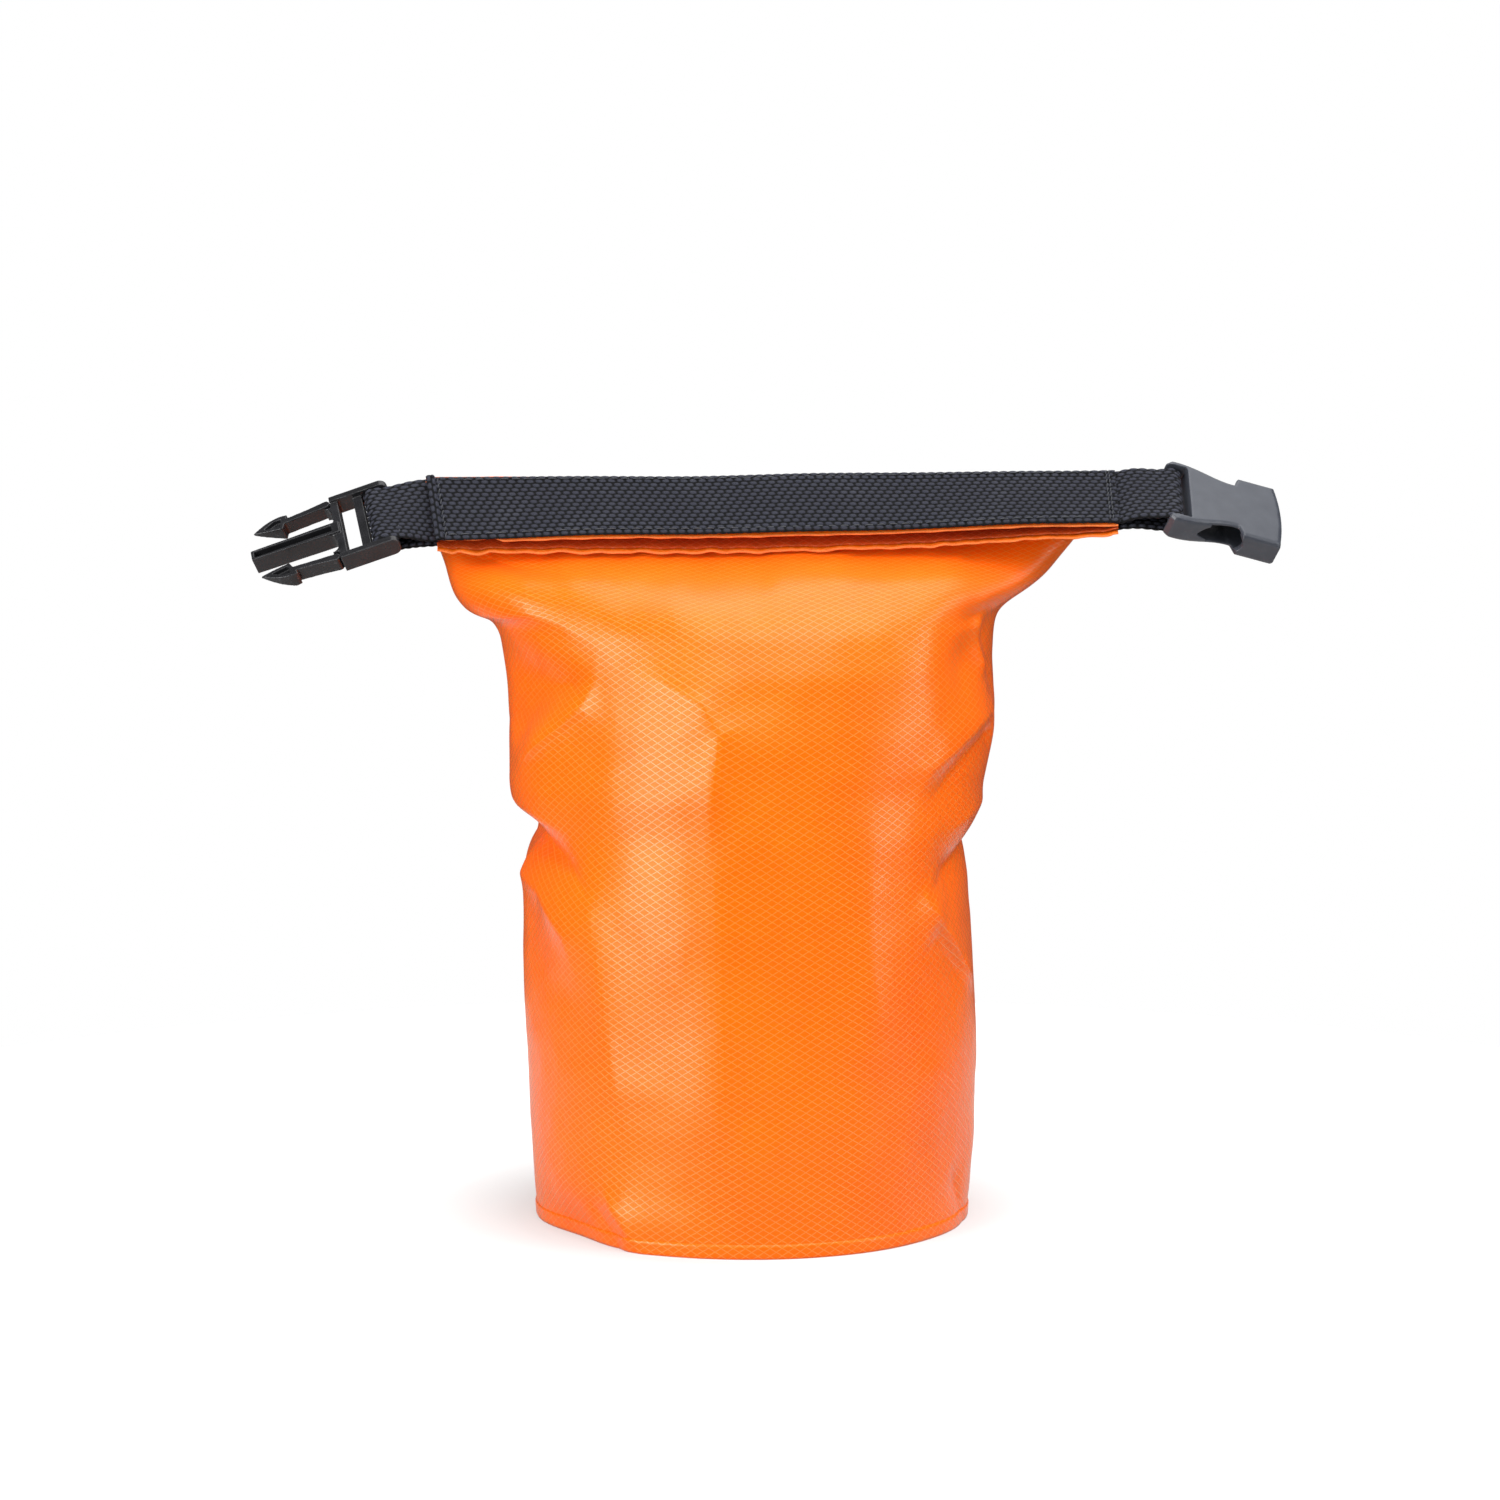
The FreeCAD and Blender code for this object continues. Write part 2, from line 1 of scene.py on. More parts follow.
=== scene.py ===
"""Looks of the roll-top dry bag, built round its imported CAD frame.

Metres, in the frame's own axes: x along the mouth, y to the back, z up. The bag's wrinkles are written in
millimetres over (s, z): s is the way round the fabric from the middle of the front, z the height.
"""
import json
import math

import bpy
import numpy as np
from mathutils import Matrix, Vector


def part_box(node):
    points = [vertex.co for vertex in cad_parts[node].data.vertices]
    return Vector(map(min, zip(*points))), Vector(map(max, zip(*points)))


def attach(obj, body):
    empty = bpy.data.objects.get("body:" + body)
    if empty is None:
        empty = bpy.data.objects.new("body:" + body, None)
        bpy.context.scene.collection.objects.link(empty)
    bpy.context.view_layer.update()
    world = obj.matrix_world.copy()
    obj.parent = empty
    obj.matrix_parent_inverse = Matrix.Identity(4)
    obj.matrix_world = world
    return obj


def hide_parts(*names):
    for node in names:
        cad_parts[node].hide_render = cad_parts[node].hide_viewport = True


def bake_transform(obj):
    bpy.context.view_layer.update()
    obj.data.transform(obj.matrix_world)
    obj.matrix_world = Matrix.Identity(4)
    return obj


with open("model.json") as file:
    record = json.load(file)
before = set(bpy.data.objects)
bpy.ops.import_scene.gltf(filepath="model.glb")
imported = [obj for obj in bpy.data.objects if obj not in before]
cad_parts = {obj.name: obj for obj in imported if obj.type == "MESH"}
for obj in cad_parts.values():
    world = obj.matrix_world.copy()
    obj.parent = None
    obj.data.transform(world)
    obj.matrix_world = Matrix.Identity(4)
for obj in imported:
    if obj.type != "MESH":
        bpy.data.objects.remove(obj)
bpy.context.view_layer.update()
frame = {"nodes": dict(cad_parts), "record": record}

MM = 0.001

# ---------------------------------------------------------------- places taken from the frame
joints = {joint["name"]: joint for joint in frame["record"]["behaviour"]["joints"]}


def corner_box(node):
    """A CAD node's box as two arrays."""
    low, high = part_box(node)
    return np.array(low), np.array(high)


FOLD = np.array(joints["mouth_unroll"]["pos_m"])
FOLD_TILT = math.radians(180 - joints["mouth_unroll"]["range_deg"][1])
band_low, band_high = corner_box("roll_webbing")
MOUTH_L, MOUTH_R = band_low[0], band_high[0]
disc_low, disc_high = corner_box("base_disc")
DISC_TO_SKIN = 0.6 * MM       # how far the fabric's outer face lies outside the base disc
BASE_R = (disc_high[0] - disc_low[0]) / 2 + DISC_TO_SKIN
NECK_Z = FOLD[2]

WEB_WIDTH = 25 * MM
WEB_THICK = 1.4 * MM
BACK_LIP_OUT = 5.3 * MM       # middle of the back fabric, out from the fold line
WEB_OUT = 6.9 * MM            # middle of the webbing's thickness
FABRIC_THICK = 0.45 * MM


# ---------------------------------------------------------------- small maths
def unit(vector):
    """The vector made one long; also works on rows."""
    vector = np.asarray(vector, float)
    return vector / np.maximum(np.linalg.norm(vector, axis=-1, keepdims=True), 1e-12)


def smooth_step(low, high, value):
    """0 below low, 1 above high, eased between."""
    share = np.clip((np.asarray(value, float) - low) / (high - low), 0, 1)
    return share * share * (3 - 2 * share)


def signed_power(value, power):
    """The value's size raised to a power, with its sign kept."""
    return np.sign(value) * np.abs(value) ** power


def lattice_noise(x, y, seed, wrap=0):
    """Smooth noise from -1 to 1 on a unit lattice; wrap makes it repeat along x."""
    size = 256
    grid = np.random.RandomState(seed).uniform(-1, 1, (size, size))
    x0 = np.floor(x).astype(int)
    y0 = np.floor(y).astype(int)
    fx = x - x0
    fy = y - y0
    fx = fx * fx * fx * (fx * (fx * 6 - 15) + 10)
    fy = fy * fy * fy * (fy * (fy * 6 - 15) + 10)
    period = wrap if wrap else size
    xa, xb = x0 % period, (x0 + 1) % period
    ya, yb = y0 % size, (y0 + 1) % size
    low = grid[xa, ya] * (1 - fx) + grid[xb, ya] * fx
    high = grid[xa, yb] * (1 - fx) + grid[xb, yb] * fx
    return low * (1 - fy) + high * fy


RUN_SOFTNESS = 0.5            # mm; how softly one run of a polyline hands over to the next
CREASE_TIP_SQUARED = 0.9      # mm2; rounds a fold's top
CREASE_TIP = 0.95             # mm


def line_distance(s, z, points):
    """Distance from each (s, z) to a polyline, its side, and how far along it the foot lies, 0 to 1.

    How far along is averaged over the runs, the nearest one weighing most, so that it has no jump where the
    nearest run changes.
    """
    points = np.asarray(points, float)
    lengths = np.linalg.norm(np.diff(points, axis=0), axis=1)
    starts = np.concatenate([[0], np.cumsum(lengths)]) / lengths.sum()
    best = np.full(s.shape, np.inf)
    side = np.ones(s.shape)
    along = np.zeros(s.shape)
    weights = np.zeros(s.shape)
    for k in range(len(points) - 1):
        (ax, az), (bx, bz) = points[k], points[k + 1]
        dx, dz = bx - ax, bz - az
        share = np.clip(((s - ax) * dx + (z - az) * dz) / (dx * dx + dz * dz), 0, 1)
        gap_x = s - ax - share * dx
        gap_z = z - az - share * dz
        distance = np.hypot(gap_x, gap_z)
        nearer = distance < best
        best = np.where(nearer, distance, best)
        side = np.where(nearer, np.sign(dx * gap_z - dz * gap_x), side)
        weight = (distance + RUN_SOFTNESS) ** -6
        along = along + weight * (starts[k] + share * (starts[k + 1] - starts[k]))
        weights = weights + weight
    return best, side, along / weights


def crease(s, z, points, depth, left, right, fade=(0.25, 0.25)):
    """A fold along a polyline: it drops away over 'left' mm on its left and 'right' mm on its right.

    fade is the share of the line over which the fold dies out at each end; 0 keeps that end at full depth.
    """
    distance, side, along = line_distance(s, z, points)
    width = np.where(side > 0, left, right)
    shape = np.exp(-(np.sqrt(distance ** 2 + CREASE_TIP_SQUARED) - CREASE_TIP) / width)
    for share, place in zip(fade, (along, 1 - along)):
        if share:
            shape = shape * smooth_step(0, share, place)
    return depth * shape


def hollow(s, z, points, depth, width):
    """The left shoulder's hollow: a step down on a polyline's right side, at full depth after 'width' mm.

    It rises again 14 to 34 mm away from the line and dies out towards the bag's left side.
    """
    distance, side, along = line_distance(s, z, points)
    inside = np.where(side < 0, distance, -distance)
    ends = smooth_step(-0.02, 0.12, along) * smooth_step(-0.02, 0.12, 1 - along)
    back = 1 - smooth_step(14, 34, distance)
    return depth * smooth_step(-1.5, width, inside) * ends * back * smooth_step(-116, -84, s)


def dent(s, z, centre, size, depth, turn=0.0):
    """A smooth oval dent (depth below 0) or bulge, turned by 'turn' degrees."""
    turn = math.radians(turn)
    across = (s - centre[0]) * math.cos(turn) + (z - centre[1]) * math.sin(turn)
    up = (z - centre[1]) * math.cos(turn) - (s - centre[0]) * math.sin(turn)
    return depth * np.exp(-(across / size[0]) ** 2 - (up / size[1]) ** 2)


# ---------------------------------------------------------------- meshes
def vertex_of_loops(mesh):
    """The vertex number of every face corner."""
    loops = np.empty(len(mesh.loops), dtype=np.int32)
    mesh.loops.foreach_get("vertex_index", loops)
    return loops


def store_uv(mesh, values):
    """Puts one (u, v) per face corner in the layer that the fabrics read."""
    layer = mesh.uv_layers.new(name="fabric")
    layer.data.foreach_set("uv", values.astype(np.float32).ravel())


def linked_piece(name, mesh):
    """A new object in the scene."""
    piece = bpy.data.objects.new(name, mesh)
    bpy.context.scene.collection.objects.link(piece)
    return piece


def grid_mesh(name, points, wrap_u=False, wrap_v=False, uv=None, caps=False):
    """A mesh of quads over a (rows, columns, 3) array; wraps close it along columns or rows.

    caps closes a ring's first and last rows with one face each; its uv runs there and back round the ring.
    """
    rows, columns = points.shape[:2]
    index = np.arange(rows * columns).reshape(rows, columns)
    next_u = np.roll(index, -1, axis=1)
    next_v = np.roll(index, -1, axis=0)
    diagonal = np.roll(next_u, -1, axis=0)
    row_end = rows if wrap_v else rows - 1
    column_end = columns if wrap_u else columns - 1
    quads = np.stack([index, next_u, diagonal, next_v], axis=-1)[:row_end, :column_end].reshape(-1, 4)
    faces = quads.tolist()
    if caps:
        faces.append(index[0].tolist()[::-1])
        faces.append(index[-1].tolist())
    mesh = bpy.data.meshes.new(name)
    mesh.from_pydata(points.reshape(-1, 3).tolist(), [], faces)
    if uv is not None:
        values = uv.reshape(-1, 2)[vertex_of_loops(mesh)]
        if wrap_u and not caps:
            # a quad that closes the ring gets its far corners' u moved on by one turn
            turn_length = (uv[0, 1, 0] - uv[0, 0, 0]) * columns
            starts = np.arange(len(quads)) * 4
            first = values[starts, 0]
            for offset in (1, 2, 3):
                jump = np.abs(values[starts + offset, 0] - first) > turn_length / 2
                corners = starts[jump] + offset
                values[corners, 0] += turn_length * np.sign(first[jump] - values[corners, 0])
        store_uv(mesh, values)
    mesh.polygons.foreach_set("use_smooth", [True] * len(mesh.polygons))
    mesh.update()
    return linked_piece(name, mesh)


def thick_sheet(name, middle, normals, thickness, uv=None, edge_rows=2):
    """A closed sheet round a (rows, columns, 3) middle surface, with its first and last rows' rims rounded."""
    def rim(edge, facing, outwards):
        """The rounded rim's rows, from the facing side round to the other one."""
        angles = [math.pi * step / (edge_rows + 1) for step in range(1, edge_rows + 1)]
        return [edge + (facing * math.cos(angle) + outwards * math.sin(angle)) * thickness / 2
                for angle in angles]

    outer = middle + normals * thickness / 2
    inner = middle - normals * thickness / 2
    ring = np.array([*outer, *rim(middle[-1], normals[-1], unit(middle[-1] - middle[-2])),
                     *inner[::-1], *rim(middle[0], -normals[0], unit(middle[0] - middle[1]))])
    ring_uv = None
    if uv is not None:
        last = middle.shape[0] - 1
        order = [*range(last + 1), *[last] * edge_rows, *range(last, -1, -1), *[0] * edge_rows]
        ring_uv = uv[order].transpose(1, 0, 2)
    return grid_mesh(name, ring.transpose(1, 0, 2), wrap_u=True, uv=ring_uv, caps=True)


def surface_normals(points):
    """Unit normals of a (rows, columns, 3) open surface."""
    along = np.gradient(points, axis=1)
    up = np.gradient(points, axis=0)
    return unit(np.cross(along, up))


# ---------------------------------------------------------------- materials
class Nodes:
    """A short way to write a material's nodes."""

    def __init__(self, name):
        self.material = bpy.data.materials.new(name)
        self.material.use_nodes = True
        self.tree = self.material.node_tree
        self.tree.nodes.clear()
        self.shader = self.tree.nodes.new("ShaderNodeBsdfPrincipled")
        output = self.tree.nodes.new("ShaderNodeOutputMaterial")
        self.tree.links.new(self.shader.outputs[0], output.inputs[0])

    def add(self, kind, **settings):
        """A node with its attributes and input values set; a tuple (node, socket) is linked."""
        node = self.tree.nodes.new("ShaderNode" + kind)
        for key, value in settings.items():
            if key.startswith("in_"):
                self.feed(node, int(key[3:]) if key[3:].isdigit() else key[3:], value)
            else:
                setattr(node, key, value)
        return node

    def feed(self, node, socket, value):
        """Links or sets one input."""
        target = node.inputs[socket]
        if hasattr(value, "is_output"):
            self.tree.links.new(value, target)
        else:
            target.default_value = value

    def math(self, operation, first, second=0.0, clamp=False):
        """One Math node's output."""
        return self.add("Math", operation=operation, use_clamp=clamp, in_0=first, in_1=second).outputs[0]

    def times(self, first, second):
        """A product."""
        return self.math("MULTIPLY", first, second)

    def plus(self, first, second):
        """A sum."""
        return self.math("ADD", first, second)

    def finish(self, colour, roughness, normal, **constants):
        """Feeds the shader; the constants are its own sockets, with _ for a space."""
        self.feed(self.shader, "Base Color", colour)
        self.feed(self.shader, "Roughness", roughness)
        self.feed(self.shader, "Normal", normal)
        for socket, value in constants.items():
            self.shader.inputs[socket.replace("_", " ")].default_value = value
        return self.material

    def mix(self, share, first, second):
        """A colour between two."""
        node = self.add("Mix", data_type="RGBA")
        self.feed(node, 0, share)
        self.feed(node, 6, first)
        self.feed(node, 7, second)
        return node.outputs[2]

    def noise(self, vector, scale, detail=3.0, roughness=0.55):
        """A noise texture's value."""
        node = self.add("TexNoise", in_Vector=vector, in_Scale=scale, in_Detail=detail, in_Roughness=roughness)
        return node.outputs["Fac"]

    def ramp(self, value, low, high):
        """The value stretched from low..high to 0..1."""
        node = self.add("MapRange", in_Value=value)
        self.feed(node, "From Min", low)
        self.feed(node, "From Max", high)
        return node.outputs[0]

    def bump(self, height, strength, distance, under=None):
        """A bump node's normal."""
        node = self.add("Bump", in_Height=height, in_Strength=strength, in_Distance=distance)
        if under is not None:
            self.feed(node, "Normal", under)
        return node.outputs[0]

    def coordinates(self, uv=False):
        """Fabric coordinates in metres, or the piece's own."""
        if uv:
            return self.add("UVMap", uv_map="fabric").outputs[0]
        return self.add("TexCoord").outputs["Object"]


DIAMOND_WIDE = 3.9 * MM       # ripstop grid
DIAMOND_HIGH = 2.4 * MM
RIB_PITCH = 0.42 * MM         # fabric's threads
THREAD_PITCH = 0.38 * MM
YARN_TWIST = 0.55 * MM        # webbing's yarns: one turn along and one turn across
YARN_LEAN = 0.8 * MM
FULL_TURN = 2 * math.pi


def coated_fabric(name, base, lit, deep, roughness, inside=False):
    """Diamond ripstop under a satin coating: glossier diamonds whose lines are tinted towards the lit colour as
    a painted highlight, faint ribs and threads, and soft clouding.
    """
    n = Nodes(name)
    uv = n.coordinates(uv=True)
    split = n.add("SeparateXYZ", in_0=uv)
    across = n.math("DIVIDE", split.outputs[0], DIAMOND_WIDE)
    up = n.math("DIVIDE", split.outputs[1], DIAMOND_HIGH)
    wobble = n.times(n.math("SUBTRACT", n.noise(uv, 260.0), 0.5), 0.12)
    lines = []
    for operation in ("ADD", "SUBTRACT"):
        slanted = n.plus(n.math(operation, across, up), wobble)
        distance = n.math("ABSOLUTE", n.math("SUBTRACT", n.math("FRACT", slanted), 0.5))
        lines.append(n.ramp(distance, 0.395, 0.455))
    grid = n.math("MAXIMUM", lines[0], lines[1], clamp=True)
    ribs = n.math("SINE", n.times(split.outputs[1], FULL_TURN / RIB_PITCH))
    threads = n.math("SINE", n.times(split.outputs[0], FULL_TURN / THREAD_PITCH))
    cloud = n.noise(uv, 22.0, 4.0)
    fine = n.noise(uv, 900.0, 2.0)
    colour = n.mix(n.ramp(cloud, 0.3, 0.7), deep, base)
    # painted highlight: the grid lines are tinted towards the lit colour
    colour = n.mix(n.times(grid, 0.38), colour, lit)
    colour = n.mix(n.times(n.ramp(ribs, 0.2, 1.0), 0.05), colour, deep)
    n.feed(n.shader, "Coat Weight", n.times(grid, 0.9))
    rough = n.plus(roughness - 0.02, n.times(cloud, 0.04))
    rough = n.math("SUBTRACT", rough, n.times(grid, 0.07))
    height = n.plus(grid, n.times(ribs, 0.10))
    height = n.plus(height, n.times(threads, 0.06))
    height = n.plus(height, n.times(fine, 0.22))
    uneven = n.bump(n.noise(uv, 120.0, 3.0), 0.25, 0.35 * MM)
    return n.finish(colour, rough, n.bump(height, 0.55, 0.10 * MM, uneven), Coat_Roughness=0.28,
                    Specular_IOR_Level=0.44, Specular_Tint=(1.0, 0.76, 0.40, 1), Sheen_Weight=0.02,
                    Sheen_Roughness=0.5, Subsurface_Weight=0.0 if inside else 0.12,
                    Subsurface_Radius=(1.0, 0.35, 0.08), Subsurface_Scale=0.8 * MM)


def raw_edge_fabric():
    """The cut edge of the coated fabric: a darker core with brighter frayed threads."""
    n = Nodes("raw_edge")
    fray = n.noise(n.coordinates(), 2200.0, 3.0, 0.7)
    colour = n.mix(n.ramp(fray, 0.3, 0.7), (0.60, 0.085, 0.008, 1), (0.95, 0.24, 0.035, 1))
    return n.finish(colour, n.plus(0.5, n.times(fray, 0.25)), n.bump(fray, 0.5, 0.15 * MM))


def woven_webbing():
    """Slate black polyester webbing: twisted yarns on each float, painted shade darkening the gaps between
    floats to near black, dusty high spots.
    """
    n = Nodes("webbing")
    uv = n.coordinates(uv=True)
    split = n.add("SeparateXYZ", in_0=uv)
    relief = n.add("Attribute", attribute_name="relief").outputs["Fac"]
    strands = n.math("SINE", n.plus(n.times(split.outputs[0], FULL_TURN / YARN_TWIST),
                                    n.times(split.outputs[1], FULL_TURN / YARN_LEAN)))
    fuzz = n.noise(uv, 2600.0, 3.0, 0.7)
    dust = n.noise(uv, 60.0, 4.0, 0.6)
    yarn = n.mix(n.ramp(fuzz, 0.3, 0.75), (0.014, 0.015, 0.023, 1), (0.034, 0.036, 0.052, 1))
    yarn = n.mix(n.times(n.ramp(strands, -0.2, 1.0), 0.35), yarn, (0.062, 0.065, 0.088, 1))
    yarn = n.mix(n.times(n.ramp(dust, 0.5, 0.75), 0.15), yarn, (0.09, 0.094, 0.108, 1))
    # painted shade: the weave's gaps, where the relief is low, are darkened to near black
    colour = n.mix(n.ramp(relief, 0.30, 0.72), (0.0008, 0.0009, 0.0014, 1), yarn)
    height = n.plus(n.times(strands, 0.6), n.times(fuzz, 0.7))
    return n.finish(colour, n.plus(0.58, n.times(fuzz, 0.25)), n.bump(height, 0.6, 0.12 * MM),
                    Sheen_Weight=0.03, Sheen_Roughness=0.4, Specular_IOR_Level=0.2)


def moulded_plastic(name, dark, pale, roughness, scuff, texture):
    """Moulded plastic: flow clouding, a fine grain 'texture' strong, and edges worn by 'scuff'."""
    n = Nodes(name)
    place = n.coordinates()
    cloud = n.noise(place, 180.0, 3.0)
    grain = n.noise(place, 4200.0, 2.0, 0.7)
    stretched = n.add("Mapping", in_Vector=place, in_Scale=(1.0, 9.0, 9.0))
    scratch = n.noise(stretched.outputs[0], 900.0, 4.0, 0.75)
    edge = n.ramp(n.add("NewGeometry").outputs["Pointiness"], 0.50, 0.62)
    worn = n.times(edge, n.ramp(scratch, 0.35, 0.7))
    colour = n.mix(n.ramp(cloud, 0.3, 0.7), dark, pale)
    colour = n.mix(n.times(worn, scuff), colour, (0.16, 0.165, 0.18, 1))
    rough = n.plus(roughness, n.times(n.math("SUBTRACT", cloud, 0.5), 0.12))
    rough = n.plus(rough, n.times(n.ramp(scratch, 0.62, 0.8), 0.14))
    flow = n.bump(cloud, 0.12, 0.3 * MM)
    return n.finish(colour, rough, n.bump(grain, texture, 0.04 * MM, flow), Specular_IOR_Level=0.5)


def sewing_thread():
    """Bonded thread, wound from fine strands."""
    n = Nodes("thread")
    fuzz = n.noise(n.coordinates(), 3500.0, 3.0, 0.7)
    colour = n.mix(n.ramp(fuzz, 0.3, 0.7), (0.012, 0.013, 0.016, 1), (0.07, 0.074, 0.085, 1))
    return n.finish(colour, n.plus(0.45, n.times(fuzz, 0.3)), n.bump(fuzz, 0.5, 0.1 * MM))


# each fabric's colours: base, lit for the grid lines' painted highlight, and deep for random clouding
FABRIC = coated_fabric(
    "coated_fabric", (1.0, 0.145, 0.0012, 1), (1.0, 0.30, 0.035, 1), (0.97, 0.118, 0.001, 1), 0.29)
# the front lip's inner face: a darker copy of the fabric, painted shade for where it lies under the webbing
FABRIC_INSIDE_PAINTED_SHADE = coated_fabric(
    "coated_fabric_inside_painted_shade", (0.42, 0.05, 0.006, 1), (0.5, 0.075, 0.012, 1), (0.30, 0.03, 0.004, 1), 0.34, True)
# the front lip's hem: a darker copy of the fabric, painted shade
FABRIC_SHADED = coated_fabric(
    "coated_fabric_hem_painted_shade", (0.80, 0.14, 0.004, 1), (0.9, 0.19, 0.012, 1), (0.66, 0.10, 0.003, 1), 0.34, True)
RAW_EDGE = raw_edge_fabric()
WEBBING = woven_webbing()
THREAD = sewing_thread()
PLUG_PLASTIC = moulded_plastic(
    "plug_plastic", (0.010, 0.010, 0.011, 1), (0.017, 0.017, 0.019, 1), 0.26, 0.35, 0.10)
SOCKET_PLASTIC = moulded_plastic(
    "socket_plastic", (0.040, 0.044, 0.056, 1), (0.052, 0.057, 0.070, 1), 0.34, 0.2, 0.2)
STIFF_PLASTIC = moulded_plastic(
    "stiffener_plastic", (0.02, 0.02, 0.021, 1), (0.03, 0.03, 0.032, 1), 0.5, 0.1, 0.3)


def finish_piece(piece, material, body, slot, *nodes):
    """Material, ride and replaced nodes of one piece; slot is not used."""
    piece.data.materials.clear()
    piece.data.materials.append(material)
    if body:
        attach(piece, body)
    if nodes:
        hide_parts(*nodes)
    return piece


# ---------------------------------------------------------------- bag
# each row: height as a share of the neck's; half widths left and right, and depths front and back, as shares
# of the base radius; and squareness, 1 for an oval and less for a squarer section
BAG_SHAPE = np.array((
    (0.000, 0.985, 1.000, 1.000, 1.000, 1.00),
    (0.045, 0.998, 1.008, 1.004, 1.000, 1.00),
    (0.220, 1.030, 1.036, 0.996, 0.990, 1.00),
    (0.370, 1.045, 1.030, 0.985, 0.980, 1.00),
    (0.500, 1.040, 1.014, 0.970, 0.980, 1.00),
    (0.545, 1.025, 1.032, 0.965, 0.975, 1.00),
    (0.600, 1.085, 1.048, 0.945, 0.960, 1.00),
    (0.680, 1.100, 1.102, 0.910, 0.930, 1.00),
    (0.760, 1.115, 1.122, 0.850, 0.870, 1.00),
    (0.815, 1.125, 1.130, 0.765, 0.790, 0.98),
    (0.838, 1.160, 1.145, 0.700, 0.730, 0.95),
    (0.860, 1.300, 1.260, 0.570, 0.640, 0.90),
    (0.885, 1.350, 1.360, 0.400, 0.470, 0.82),
    (0.918, 1.412, 1.440, 0.225, 0.285, 0.70),
    (0.955, 1.458, 1.530, 0.112, 0.135, 0.55),
    (0.982, 1.467, 1.602, 0.066, 0.058, 0.46),
    (1.000, 1.4726, 1.6507, 0.0384, 0.0384, 0.40),
))
AROUND = 540
FABRIC_ROUND = FULL_TURN * BASE_R


def section_rows(count):
    """Smoothed rows of the bag's shape, evenly spaced along the front's length rather than in height.

    Gives each row's height share, its five numbers and its place along the fabric.
    """
    half = 30
    fine = np.linspace(0, 1, 40 * half + 1)
    rows = np.stack([np.interp(fine, BAG_SHAPE[:, 0], BAG_SHAPE[:, k]) for k in range(1, 6)], axis=1)
    kernel = np.exp(-np.linspace(-2, 2, 2 * half + 1) ** 2)
    kernel /= kernel.sum()
    padded = np.concatenate([2 * rows[:1] - rows[half:0:-1], rows, 2 * rows[-1:] - rows[-2:-half - 2:-1]])
    rows = np.stack([np.convolve(padded[:, k], kernel, "valid") for k in range(5)], axis=1)
    front = np.hypot(np.diff(fine) * NECK_Z, np.diff(rows[:, 2]) * BASE_R)
    length = np.concatenate([[0], np.cumsum(front)])
    wanted = np.linspace(0, length[-1], count)
    shares = np.interp(wanted, length, fine)
    return shares, np.stack([np.interp(shares, fine, rows[:, k]) for k in range(5)], axis=1), wanted


def section_loop(row, height):
    """One section as points evenly spaced along the fabric, starting and ending at the middle of the back."""
    left, right, front, back, square = row
    angle = math.pi / 2 + np.linspace(0, FULL_TURN, 1441)
    across = signed_power(np.cos(angle), square)
    depth = signed_power(np.sin(angle), square)
    x = (right - left) / 2 + (right + left) / 2 * across
    y = np.where(depth > 0, back, front) * depth
    length = np.concatenate([[0], np.cumsum(np.hypot(np.diff(x), np.diff(y)))])
    wanted = np.arange(AROUND) / AROUND * length[-1]
    loop = np.stack([np.interp(wanted, length, x), np.interp(wanted, length, y)], axis=1) * BASE_R
    return np.concatenate([loop, np.full((AROUND, 1), height)], axis=1)


